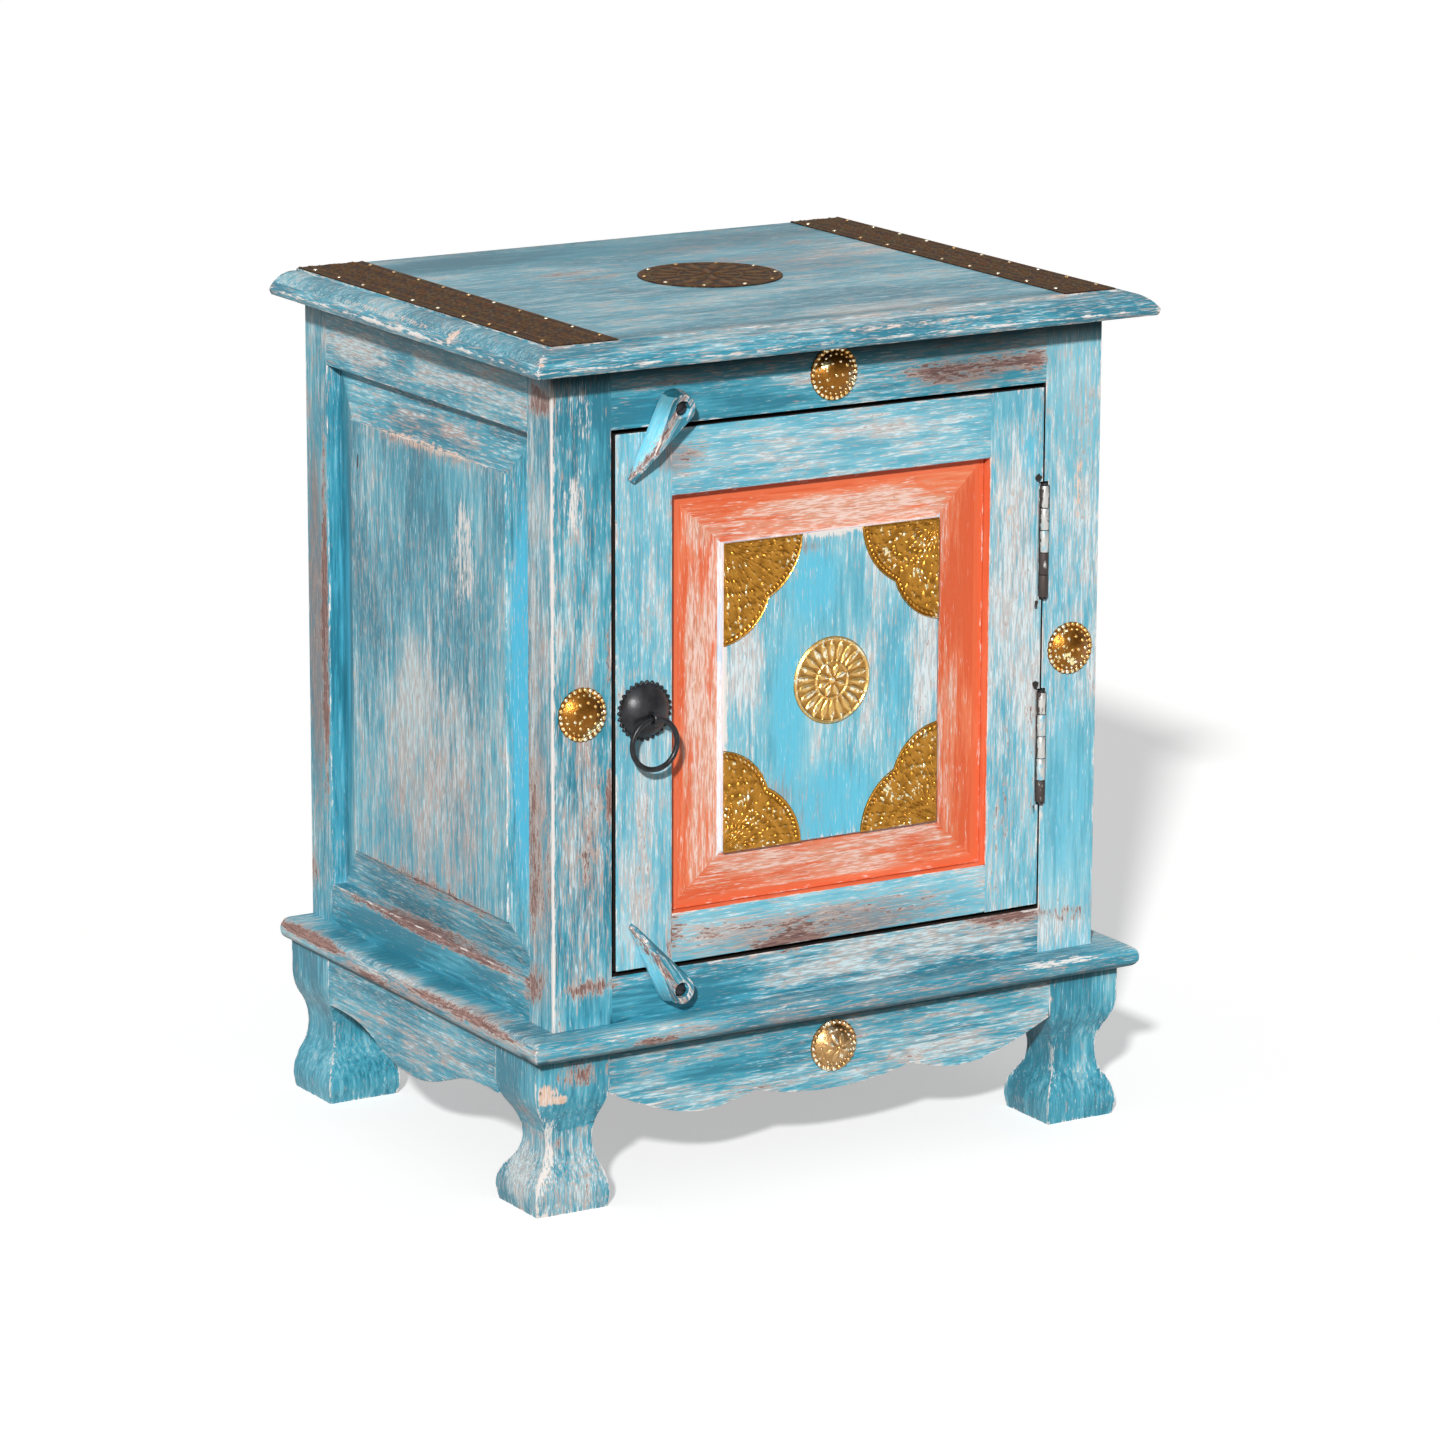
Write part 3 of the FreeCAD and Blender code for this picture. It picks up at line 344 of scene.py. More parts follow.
def makeSteel():
    # plain mild steel, brushed over with the blue paint, rubbed bright or rusted brown knuckle by knuckle
    material, tree, place = startMaterial("paintedSteel")
    rust = addNode(tree, "ShaderNodeAttribute", attribute_name="relief").outputs["Fac"]
    smear = grain(place, "Z", 1.6, 7, 4, 3.0)
    ragged = grain(place, "Z", 3, 5, 19, 4.0, 0.65)
    line = grain(place, "Y", 8, 0.7, 2, 2.0)
    worn = blendOf([(rust, 1.0), (ragged, 0.8), (smear, 0.3)], -0.55)
    colour, _ = coat("#6FB6CC", "#C9E4EA", smear, 0.46, 0.62)
    colour, bareMask = coat(colour, "#D5D3CE", worn, 0.34, 0.48)
    colour, rustMask = coat(colour, "#33221D", worn, 0.62, 0.74, 0.95)
    rough = blendOf([(rustMask, 0.25)], 0.36)
    metal = blendOf([(bareMask, 0.7), (rustMask, -0.4)])
    finishMaterial(colour, rough, line, 0.08, metal)
    return material


steel = makeSteel()
print("materials made")


# worn places, and places of painted shade, by kind: middle x, y, z, reach along x, y, z, strength
wornPlaces = {
    "bare": [
        (-160, -134, 198, 7, 14, 48, 0.45), (-159, -134, 128, 18, 14, 6, 0.8), (-120, -134, 204, 5, 14, 36, 0.25),
        (119, -134, 196, 5, 14, 36, 0.4), (-27, -134, 138, 26, 14, 5, 1), (-105, -134, 152, 4, 14, 15, 0.6),
        (89, -134, 461, 48, 14, 7, 0.9), (133, -134, 461, 14, 14, 8, 0.8), (167, -134, 405, 4, 14, 30, 0.35),
        (168, -134, 127, 17, 14, 5, 0.5), (125, -134, 130, 31, 14, 4, 0.8), (-127, -151, 98, 17, 14, 3, 0.7),
        (-183, -114, 208, 14, 8, 61, 0.7), (-183, -113, 129, 14, 14, 13, 0.9), (-183, -122, 465, 14, 14, 10, 0.9),
        (-183, 152, 300, 14, 4, 60, 0.35), (-183, 160, 133, 14, 14, 11, 0.7), (-183, 11, 128, 14, 103, 4, 1),
        (-183, 18, 414, 14, 74, 5, 0.5), (-183, 11, 155, 14, 91, 5, 0.6), (-203, 36, 95, 14, 57, 6, 0.6),
        (-203, -73, 102, 14, 57, 6, 0.6), (-169, -139, 78, 19, 14, 5, 0.8), (67, -139, 68, 17, 14, 4, 0.3),
        (-170, -140, 83, 13, 14, 8, 1), (-180, -140, 41, 5, 14, 6, 0.6), (-198, -119, 53, 14, 11, 18, 0.6),
        (-68, 63, 499, 21, 11, 8, 0.5), (-10, -134, 146, 110, 14, 10, 0.3), (-92, -134, 432, 12, 14, 4, 0.5),
        (-183, 138, 290, 14, 4, 120, 1), (-183, -105, 300, 14, 3, 110, 0.7), (-147, -134, 322, 3, 14, 22, 0.7),
        (-147, -134, 240, 3, 14, 22, 0.7), (-204, 120, 103, 10, 50, 3.5, 1), (-204, -60, 103, 10, 80, 3, 0.9),
        (-182, 20, 154, 14, 90, 2.5, 0.9), (-183, -128, 200, 5, 5, 60, 0.5), (-60, 45, 499, 40, 5, 8, 0.5),
        (120, 90, 499, 40, 8, 8, 0.45), (90, -20, 499, 50, 5, 8, 0.4), (121, -134, 225, 4, 14, 40, 0.4),
        (127, -134, 350, 3, 14, 45, 0.35)
    ],
    "rub": [
        (-169, -134, 408, 9, 14, 27, 1), (-163, -134, 458, 9, 14, 21, 0.7), (-177, -134, 468, 3, 14, 18, 0.6),
        (116, -134, 381, 6, 14, 45, 0.7), (167, -134, 402, 5, 14, 36, 0.45), (-136, -151, 103, 61, 14, 3, 0.6),
        (-30, -151, 104, 41, 14, 3, 0.6), (149, -151, 104, 41, 14, 4, 0.8), (-183, -31, 362, 14, 19, 44, 0.93),
        (-183, 27, 248, 14, 6, 30, 0.5), (-194, -140, 22, 4, 4, 34, 0.7), (-175, -140, 20, 14, 14, 4, 0.4),
        (-206, -2, 494, 14, 103, 7, 0.5), (81, -160, 495, 62, 14, 2.5, 0.6), (-142, -160, 495, 62, 14, 2.5, 0.5),
        (-74, 47, 499, 34, 15, 8, 0.5), (-15, 103, 499, 27, 11, 8, 0.6), (-73, -21, 499, 34, 19, 8, 0.5),
        (12, -134, 375, 69, 4, 3, 0.5), (-70, -134, 297, 3, 4, 91, 0.9), (128, -134, 340, 10, 14, 90, 0.3),
        (-112, -134, 417, 9, 14, 3, 0.5), (-184, -134, 295, 2.6, 2.6, 900, 0.85), (-90, 60, 499, 45, 6, 8, 0.7),
        (60, 100, 499, 70, 6, 8, 0.5), (110, 40, 499, 40, 5, 8, 0.6), (20, -60, 499, 60, 6, 8, 0.6),
        (-60, -100, 499, 60, 5, 8, 0.5), (124, -134, 385, 5, 14, 40, 0.6), (172, -134, 395, 4, 14, 40, 0.5)
    ],
    "pale": [
        (-165, -134, 331, 16, 14, 36, 0.5), (-165, -134, 205, 16, 14, 79, 0.9), (-123, -134, 349, 19, 14, 97, 0.35),
        (-126, -134, 205, 18, 14, 61, 0.7), (11, -134, 428, 75, 14, 11, 0.9), (-75, -134, 424, 27, 14, 7, 0.6),
        (121, -134, 316, 5, 14, 67, 0.9), (112, -134, 299, 12, 14, 97, 0.6), (-60, -134, 143, 55, 14, 12, 0.7),
        (-29, -134, 462, 41, 14, 8, 0.4), (163, -134, 341, 10, 14, 36, 0.5), (170, -134, 196, 10, 14, 55, 0.4),
        (14, -134, 105, 69, 14, 6, 0.4), (-183, -118, 296, 14, 11, 158, 1), (-183, 103, 462, 14, 51, 10, 1),
        (-183, -18, 461, 14, 68, 8, 0.7), (-183, 157, 238, 14, 9, 152, 0.3), (-183, 9, 234, 14, 68, 79, 0.9),
        (-183, 18, 432, 14, 68, 7, 1), (-203, -25, 101, 14, 137, 8, 0.8), (-103, -139, 65, 34, 14, 6, 0.6),
        (81, -139, 63, 41, 14, 8, 0.8), (-180, -140, 26, 30, 14, 28, 0.5), (-198, -116, 29, 14, 23, 24, 1),
        (169, -140, 28, 17, 14, 12, 0.6), (-198, -16, 68, 14, 68, 12, 0.7), (-198, 134, 35, 14, 11, 18, 0.8),
        (129, 53, 499, 48, 30, 8, 0.7), (51, -124, 499, 62, 22, 8, 0.7), (-88, -130, 385, 9, 14, 12, 0.6),
        (5, -130, 387, 62, 14, 9, 0.9), (-87, -130, 287, 9, 14, 85, 1), (88, -130, 296, 5, 14, 36, 0.6),
        (14, -130, 175, 62, 14, 7, 0.9), (64, -133, 300, 10, 6, 66, 1), (-58, -133, 312, 14, 6, 40, 1),
        (30, -133, 330, 8, 6, 40, 0.8), (0, -133, 285, 60, 6, 80, 0.25), (165, -134, 290, 30, 14, 130, 0.7),
        (128, -134, 330, 14, 14, 110, 1), (60, -134, 120, 120, 14, 12, 1), (0, -145, 499, 160, 12, 8, 0.6)
    ],
    "calm": [
        (-152, -134, 443, 7, 14, 36, 0.9), (113, -134, 434, 21, 14, 7, 0.4), (-88, -134, 453, 82, 14, 12, 1),
        (-113, -134, 115, 69, 14, 12, 0.9), (-183, 24, 110, 14, 114, 12, 0.8), (-183, -5, 389, 14, 68, 24, 0.4),
        (-76, -139, 72, 41, 14, 5, 0.9), (-198, 85, 29, 14, 46, 24, 0.8), (5, -134, 335, 21, 4, 36, 0.5),
        (-151, -134, 330, 6, 14, 60, 0.5), (95, -129, 340, 16, 6, 66, 0.9), (165, -134, 195, 22, 14, 55, 0.7),
        (-178, 124, 290, 14, 16, 150, 1), (-175, 112, 45, 26, 8, 44, 1), (-183, 30, 122, 14, 100, 6, 0.8),
        (-60, 125, 499, 120, 20, 8, 0.8), (-150, -134, 460, 16, 14, 12, 0.8), (-180, -92, 290, 14, 10, 135, 0.5),
        (-28, -133, 270, 16, 6, 60, 0.6), (2, -133, 215, 38, 6, 30, 0.45), (-12, -133, 345, 20, 6, 28, 0.4),
        (44, -133, 268, 9, 6, 50, 0.35)
    ],
    "grey": [
        (-176, -140, 22, 22, 14, 22, 0.3), (-48, -133, 330, 10, 6, 22, 0.6), (-100, -134, 428, 18, 14, 11, 1),
        (92, -134, 461, 56, 14, 12, 0.9), (-10, -134, 145, 120, 14, 14, 0.9), (-183, -122, 250, 5, 8, 130, 0.9),
        (-183, 150, 290, 5, 12, 140, 1), (-180, 18, 428, 12, 80, 9, 0.8), (-204, 0, 98, 8, 150, 7, 0.7),
        (-165, -134, 190, 22, 14, 60, 0.5), (-126, -134, 190, 18, 14, 60, 0.5), (-183, 10, 200, 6, 90, 60, 0.7),
        (70, 40, 499, 110, 50, 8, 0.7), (60, 120, 499, 110, 40, 8, 0.6), (-30, -133, 215, 50, 6, 30, 0.6),
        (0, -151, 100, 205, 14, 8, 0.6), (0, -139, 80, 190, 8, 8, 0.4), (-198, 0, 70, 10, 90, 14, 0.6),
        (-198, -120, 40, 8, 20, 24, 0.7), (10, -134, 428, 70, 14, 12, 0.4), (166, -134, 425, 20, 14, 30, 0.5),
        (-14, -133, 369, 13, 6, 8, 0.8), (-163, -134, 285, 14, 14, 60, 0.7)
    ],
    "peach": [
        (-183, -31, 350, 14, 5, 14, 0.55), (-190, -140, 72, 8, 14, 9, 0.9), (-181, -140, 68, 6, 14, 4, 0.75),
        (-206, -58, 494, 14, 7, 6, 0.8), (30, -160, 494, 120, 14, 2, 0.5), (-203, 20, 494, 14, 90, 2, 0.5),
        (-201, -160, 495, 7, 14, 6, 0.6), (-182, 15, 417, 14, 88, 3, 0.6), (-183, -33, 342, 14, 5, 16, 0.5),
        (118, -134, 372, 5, 14, 20, 0.6), (168, -134, 385, 5, 14, 34, 0.6)
    ],
    "sky": [
        (133, -134, 405, 8, 14, 24, 0.6), (-180, -92, 290, 14, 12, 135, 0.85), (-183, -120, 400, 4, 8, 60, 0.4),
        (137, -134, 260, 6, 14, 60, 0.4), (160, -134, 300, 22, 14, 110, 0.42), (-12, -133, 345, 20, 6, 28, 0.75),
        (-28, -133, 270, 14, 6, 62, 0.7), (2, -133, 215, 38, 6, 32, 0.65), (44, -133, 268, 10, 6, 52, 0.45),
        (165, -134, 190, 22, 14, 60, 0.4), (-178, 126, 290, 14, 12, 150, 0.3), (-183, 20, 300, 5, 60, 90, 0.25),
        (-125, -134, 350, 12, 14, 80, 0.3), (-178, 117, 290, 14, 3, 140, 0.8)
    ],
    "mark": [
        (-195, -140, 74, 2.5, 14, 4, 0.62), (-192, -140, 66, 2, 14, 3, 0.55), (-182, 97, 394, 8, 1.8, 5.5, 1)
    ],
    # mostly painted shade under the overhang of the slab and of the base board, with a few darker dirty places on the
    # top and the rails
    "soot": [
        (0, -134, 486, 900, 9, 14.5, 1), (-184, 0, 486, 9, 900, 10, 0.9), (95, -134, 466, 56, 14, 26, 0.42),
        (0, -151, 94, 900, 9, 3, 0.6), (0, -139, 93.5, 900, 9, 5.5, 0.95), (-198, 0, 93.5, 9, 900, 4, 0.8),
        (40, 158, 499, 300, 7, 4, 0.4), (-183, 150, 290, 5, 14, 160, 0.38), (0, 125, 499, 260, 40, 8, 0.32),
        (-10, -134, 142, 120, 14, 10, 0.3), (100, -134, 470, 40, 14, 9, 0.3), (0, -150, 98, 210, 8, 7, 0.18)
    ],
}
# a black mark, painted shade, stands for the notch beside the door's edge above and below each hinge
notches = (391.5, 316.5, 268.5, 193.5)
wornPlaces["mark"] += [(140.4, -134, z, 3.6, 6, 3.2, 1) for z in notches]


# full strength in the middle, fading out a little past the reach
wearFade = {"slope": 1.7, "end": 1.25}


def wornValues(points, kind):
    values = np.zeros(len(points))
    for place in wornPlaces[kind]:
        away = np.sqrt((((points - place[:3]) / place[3:6]) ** 2).sum(axis=1))
        fade = np.clip(wearFade["slope"] * (wearFade["end"] - away) / wearFade["end"], 0, 1)
        values = np.maximum(values, place[6] * fade)
    return values


# arris: how far the sharp edges are rounded over, step: spacing of the cuts that carry the wear, near and hidden: how
# close a neighbour touches a piece and covers an edge, clear: the least distance of a cut from a piece's end
woodLook = {"arris": 0.8, "step": 8.0, "edgeReach": 3.0, "rimStep": 2.5, "near": 0.2, "hidden": 0.15, "clear": 0.5}
boxes = {name: [[v / mm for v in corner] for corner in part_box(name)] for name in frame["nodes"]}
bodyOf = {name: body for body, names in frame["record"]["behaviour"]["bodies"].items() for name in names}


def touching(name):
    lo, hi = boxes[name]
    near = []
    for other, (olo, ohi) in boxes.items():
        if other != name and bodyOf[other] == bodyOf[name] and other not in thinNodes:
            if all(lo[k] - woodLook["near"] < ohi[k] and olo[k] - woodLook["near"] < hi[k] for k in range(3)):
                near.append((olo, ohi))
    return near


thinNodes = {name for name in boxes if name.startswith(("studs", "hinge", "door_corner", "door_rosette", "top_strip",
                                                        "top_disc", "pull", "latch"))}


def cutAcross(bm, axis, level):
    normal = [0, 0, 0]
    normal[axis] = 1
    middle = [0, 0, 0]
    middle[axis] = level * mm
    bmesh.ops.bisect_plane(bm, geom=bm.verts[:] + bm.edges[:] + bm.faces[:], dist=1e-6, plane_co=middle,
                           plane_no=normal)


def woodPiece(node, pick, arris=None, step=None, lines=(), tune=None):
    name = pieceName(node)
    arris = woodLook["arris"] if arris is None else arris
    step = step or woodLook["step"]
    lo, hi = boxes[node]
    near = touching(node)
    bm = bmesh.new()
    bm.from_mesh(frame["nodes"][node].data)
    bmesh.ops.remove_doubles(bm, verts=bm.verts, dist=2e-6)
    bmesh.ops.dissolve_limit(bm, angle_limit=radians(0.5), verts=bm.verts, edges=bm.edges)
    for other in near:
        for axis in range(3):
            for corner in other:
                if lo[axis] + woodLook["clear"] < corner[axis] < hi[axis] - woodLook["clear"]:
                    cutAcross(bm, axis, corner[axis])

    def covered(place):
        reach = woodLook["hidden"]
        return any(all(a[k] - reach < place[k] / mm < b[k] + reach for k in range(3)) for a, b in near)

    sharp = [edge for edge in bm.edges if len(edge.link_faces) == 2 and edge.is_convex
             and edge.calc_face_angle(0) > radians(28) and not covered((edge.verts[0].co + edge.verts[1].co) / 2)]
    rim = []
    for edge in sharp:
        a, b = edge.verts[0].co / mm, edge.verts[1].co / mm
        count = max(1, int((b - a).length / woodLook["rimStep"]))
        rim += [a.lerp(b, k / count) for k in range(count + 1)]
    if arris > 0 and sharp:
        bmesh.ops.bevel(bm, geom=sharp, offset=arris * mm, offset_type="OFFSET", segments=2, profile=0.5,
                        affect="EDGES", clamp_overlap=True)
    for axis in range(3):
        size = hi[axis] - lo[axis]
        count = int(size / step)
        levels = [lo[axis] + size * (k + 0.5) / count for k in range(count)] if count > 1 else []
        if size > 4 * woodLook["edgeReach"]:
            levels += [lo[axis] + woodLook["edgeReach"], hi[axis] - woodLook["edgeReach"]]
        for level in levels + [level for way, level in lines if way == axis]:
            cutAcross(bm, axis, level)
    bmesh.ops.recalc_face_normals(bm, faces=bm.faces)

    mesh = meshFrom(bm, name)
    materials = []
    for face in mesh.polygons:
        material = pick(Vector(face.center) / mm, face.normal)
        if material not in materials:
            materials.append(material)
        face.material_index = materials.index(material)
    for material in materials:
        mesh.materials.append(material)
    points = np.empty(len(mesh.vertices) * 3)
    mesh.vertices.foreach_get("co", points)
    points = points.reshape(-1, 3) / mm
    for kind in wearKinds:
        values = wornValues(points, kind)
        if tune:
            values = tune(kind, points, values)
        setValues(mesh, kind, values)
    arrisValues = np.zeros(len(points))
    if rim:
        rim = np.array([list(p) for p in rim])
        for start in range(0, len(points), 2000):
            part = points[start:start + 2000]
            away = np.sqrt(((part[:, None, :] - rim[None, :, :]) ** 2).sum(axis=2)).min(axis=1)
            arrisValues[start:start + 2000] = np.clip(1 - away / woodLook["edgeReach"], 0, 1)
    setValues(mesh, "arris", arrisValues)
    setValues(mesh, "shift", np.full(len(points), random.Random(node).random()))
    mesh.set_sharp_from_angle(angle=radians(40))

    raw = newObject(name + "Raw", mesh)
    modifier = raw.modifiers.new("evenShade", "WEIGHTED_NORMAL")
    modifier.keep_sharp = True
    settle(raw, name, [node])


# turns an object with modifiers into a plain mesh piece that rides on its body
def settle(raw, name, nodes):
    bpy.context.view_layer.update()
    mesh = bpy.data.meshes.new_from_object(raw.evaluated_get(bpy.context.evaluated_depsgraph_get()))
    mesh.name = name
    old = raw.data
    bpy.data.objects.remove(raw)
    bpy.data.meshes.remove(old)
    addPiece(mesh, name, nodes)


# a piece without a node of its own, such as the nails of the top, belongs to the cabinet
def addPiece(mesh, name, nodes):
    piece = newObject(name, mesh)
    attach(piece, bodyOf[nodes[0]] if nodes else "cabinet")
    if nodes:
        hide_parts(*nodes)


# where paint ends: the hollow of the case, its floor as far as the middle of the rails that stand on it, the slab's
# underside, and on the door the front of the groove, the paint's reach round the edge and the raised field
ends = {"case": (173.9, -133.2, 145.5, 106.2, 484.8), "floor": (173, -124, 150), "slabUnder": 485.5, "boardUnder": 178,
        "groove": -123, "edge": -131, "panelBack": -124, "field": -132.5}


def inCarcase(c):
    halfWidth, front, back, low, high = ends["case"]
    return abs(c.x) < halfWidth and front < c.y < back and low < c.z < high


def outside(axis, coats=paint):
    return lambda c, n: stain if inCarcase(c) else coats[axis]


def sidePanel(c, n):
    # the long bevels and the field run upright, the short bevels run level
    if inCarcase(c):
        return stain
    return paint["Y"] if abs(n.z) > 0.12 else paint["Z"]


# the carved legs keep more of their paint than the boards, but for the kicked foot at the front left
def legWear(kind, points, values):
    if kind != "calm":
        return values
    kicked = (points[:, 1] < -80) & (points[:, 0] < -120) & (points[:, 2] < 48)
    return np.maximum(values, np.where(kicked, 0.0, 0.45))


def slabWear(kind, points, values):
    return np.where(points[:, 2] > 498, values, 0) if kind == "soot" else values


def noseGrain(c, n):
    # brushed along each edge of a top board
    if c.z < ends["slabUnder"] and n.z < -0.9:
        return stain
    return paint["Y"] if abs(n.x) > 0.75 and abs(c.x) > 185 else paint["X"]


def boardGrain(c, n):
    halfWidth, front, back = ends["floor"]
    if n.z < -0.9 and abs(c.x) < ends["boardUnder"] or n.z > 0.9 and abs(c.x) < halfWidth and front < c.y < back:
        return stain
    return paint["Y"] if abs(n.x) > 0.75 else paint["X"]


# what shows of the panel between the door's rails and stiles: left, right, low, high
pane = (boxes["door_stile_left"][1][0], boxes["door_stile_right"][0][0], boxes["door_rail_bottom"][1][2],
        boxes["door_rail_top"][0][2])
# the panel's raised field, the coral band along the frame, where each bevel turns pale, the pale line along the field
door = {"field": (-71.3, 72.9, 195.8, 375.4), "band": 0.2, "paleFrom": (0.4, 0.62, 0.2, 0.45), "paleLine": 0.93}
doorEdge = (boxes["door_stile_left"][0][0], boxes["door_stile_right"][1][0], boxes["door_rail_bottom"][0][2],
            boxes["door_rail_top"][1][2])


def doorFrame(axis):
    def pick(c, n):
        if c.y > ends["groove"]:
            return stain
        if axis == "Z" and abs(n.x) > 0.7 and min(abs(c.x - pane[0]), abs(c.x - pane[1])) < 0.7:
            return solidCoral["Z"]
        if axis == "X" and abs(n.z) > 0.7 and min(abs(c.z - pane[2]), abs(c.z - pane[3])) < 0.7:
            return solidCoral["X"]
        # the door's outer edges take the stain right from the arris, so the gaps round the door read black: partly
        # painted shade
        away = min(abs(c.x - doorEdge[0]), abs(c.x - doorEdge[1]), abs(c.z - doorEdge[2]), abs(c.z - doorEdge[3]))
        return stain if c.y > ends["edge"] or (away < 0.3 and n.y > -0.3) else lightPaint[axis]
    return pick


# how far in a point of the bevel is from the left, right, low and high side: 0 at the frame, 1 at the field
def bevelShares(x, z):
    left, right, low, high = door["field"]
    return [(x - pane[0]) / (left - pane[0]), (pane[1] - x) / (pane[1] - right), (z - pane[2]) / (low - pane[2]),
            (pane[3] - z) / (pane[3] - high)]


def doorPanel(c, n):
    left, right, low, high = door["field"]
    if c.y > ends["panelBack"]:
        return stain
    if left < c.x < right and low < c.z < high and c.y < ends["field"]:
        return lightPaint["Z"]
    shares = bevelShares(c.x, c.z)
    share = min(shares)
    axis = "Z" if shares.index(share) < 2 else "X"
    if share > door["paleLine"]:
        return paleEdge[axis]
    return solidCoral[axis] if share < door["band"] else coral[axis]


def panelWear(kind, points, values):
    # the coral coat is rubbed paler towards the field, and stays solid near the frame
    if kind not in ("pale", "calm"):
        return values
    result = values.copy()
    for index, (x, y, z) in enumerate(points):
        shares = bevelShares(x, z)
        share = min(shares)
        if y > ends["field"]:
            past = share - door["paleFrom"][shares.index(share)]
            result[index] = max(values[index], min(0.75, past * 1.6) if kind == "pale" else min(0.8, -past * 2.5))
    return result


def panelLines():
    lines = []
    for k in range(4):
        for share in (door["band"], door["paleLine"]):
            lines.append((k // 2, pane[k] + (door["field"][k] - pane[k]) * share))
    return lines


# cuts for marks, as axis and level: the notches by the hinges, the black mark on the side panel
stileCuts = [(0, 136.8), (0, 139)] + [(2, z + d) for z in notches for d in (-3.4, -2.4, 2.4, 3.4)]
panelCuts = [(1, 95.4), (1, 97), (1, 98.6), (2, 387.5), (2, 391), (2, 397), (2, 400.5)]

for node in sorted(boxes):
    if node in thinNodes:
        continue
    if node == "top_slab":
        woodPiece(node, noseGrain, arris=0, tune=slabWear)
    elif node == "post_front_right":
        woodPiece(node, outside("Z", lightPaint))
    elif node == "base_board":
        woodPiece(node, boardGrain)
    elif node == "door_panel":
        woodPiece(node, doorPanel, arris=0.4, lines=panelLines(),
                  tune=panelWear)
    elif node.startswith("door_rail"):
        woodPiece(node, doorFrame("X"))
    elif node.startswith("door_stile"):
        woodPiece(node, doorFrame("Z"), lines=stileCuts)
    elif node == "door_stop":
        woodPiece(node, lambda c, n: stain)
    elif node.startswith("leg"):
        woodPiece(node, lambda c, n: paint["Z"], arris=1.3, tune=legWear)
    elif node in ("panel_left", "panel_right"):
        woodPiece(node, sidePanel, lines=panelCuts)
    elif node in ("apron_left", "apron_right") or node.startswith(("rail_left", "rail_right")):
        woodPiece(node, outside("Y"))
    elif node.startswith(("apron", "rail")):
        woodPiece(node, outside("X"))
    else:
        woodPiece(node, outside("Z"))

# turn latches: pointed wedges, the grain runs along them, the left flank is paler, partly its paint and partly painted
# light, and the sloped tip is a deep teal
latch = {"upper": -1, "lower": 1, "turn": 55.0, "pivotX": -105.8, "pivotZ": {"upper": 457.6, "lower": 122.7}}


def makeLatch(place, c):
    way, turn = c[place], radians(c["turn"])
    along = Vector((-cos(turn), 0, way * sin(turn)))
    flank = Vector((-sin(turn), 0, -way * cos(turn)))
    looks = {key: makePaint(key + "Latch" + place.capitalize(), "X", look, -way * c["turn"])
             for key, look in {"light": latchLitFlank, "teal": latchTeal, "front": bluePaint}.items()}

    def pick(centre, normal):
        reach = (centre.x - c["pivotX"]) * along.x + (centre.z - c["pivotZ"][place]) * along.z
        if normal.dot(flank) > 0.5:
            return looks["light"] if reach > -2 else looks["teal"]
        return looks["teal"] if normal.dot(along) > 0.2 or normal.dot(flank) < -0.5 else looks["front"]

    def wear(kind, points, values):
        # a worn brown and beige streak down the middle of the front; the flanks keep their paint, darker at the head
        away = points[:, 0] - c["pivotX"], points[:, 2] - c["pivotZ"][place]
        across, reach = away[0] * flank.x + away[1] * flank.z, away[0] * along.x + away[1] * along.z
        if kind in ("pale", "bare"):
            return {"pale": 0.5, "bare": 0.6}[kind] * np.clip(1.2 - np.abs(across - 2.0) / 2.8, 0, 1)
        if kind == "soot":
            return 0.55 * np.clip(1.1 - reach / 16, 0, 1) * np.clip((across - 3.5) / 2, 0, 1)
        return np.zeros(len(points)) if kind in ("calm", "grey") else values

    woodPiece("latch_" + place, pick, arris=0.5, step=3.0, tune=wear)


for place in ("upper", "lower"):
    makeLatch(place, latch)
print("wood dressed")


# quads between each ring of vertices and the next
def skin(bm, rings, wrap=True):
    count = len(rings[0])
    for a, b in zip(rings, rings[1:]):
        for k in range(count if wrap else count - 1):
            bm.faces.new((a[k], a[(k + 1) % count], b[(k + 1) % count], b[k]))


# at gives the place and the relief of one row and column of the face
def sheetMesh(name, at, rowNumbers, columns, wrap, base, baseAxis, material):
    # the sheet is closed by a rim down to its base plane and a flat back
    bm = bmesh.new()
    layer = bm.verts.layers.float.new("relief")
    grid = []
    for i in rowNumbers:
        line = []
        for k in range(columns):
            place, value = at(i, k)
            vert = bm.verts.new([v * mm for v in place])
            vert[layer] = value
            line.append(vert)
        grid.append(line)
    skin(bm, grid, wrap)
    if wrap:
        middle = bm.verts.new(sum((v.co for v in grid[0]), Vector()) / columns)
        middle[layer] = grid[0][0][layer]
        for k in range(columns):
            bm.faces.new((middle, grid[0][(k + 1) % columns], grid[0][k]))
        border = grid[-1]
    else:
        border = grid[0] + [row[-1] for row in grid[1:-1]] + grid[-1][::-1] + [row[0] for row in grid[-2:0:-1]]
    under = []
    for vert in border:
        place = vert.co.copy()
        place[baseAxis] = base * mm
        low = bm.verts.new(place)
        low[layer] = 0.0
        under.append(low)
    total = len(border)
    for k in range(total):
        bm.faces.new((border[k], border[(k + 1) % total], under[(k + 1) % total], under[k]))
    bm.faces.new(under)
    bmesh.ops.remove_doubles(bm, verts=bm.verts, dist=1e-7)
    bmesh.ops.recalc_face_normals(bm, faces=bm.faces)
    mesh = meshFrom(bm, name, material)
    mesh.set_sharp_from_angle(angle=radians(50))
    return mesh


def turns(count):
    return [2 * pi * k / count for k in range(count)]


def ridge(value, middle, half):
    away = abs(value - middle) / half
    return 0.0 if away >= 1 else 0.5 * (1 + cos(pi * away))


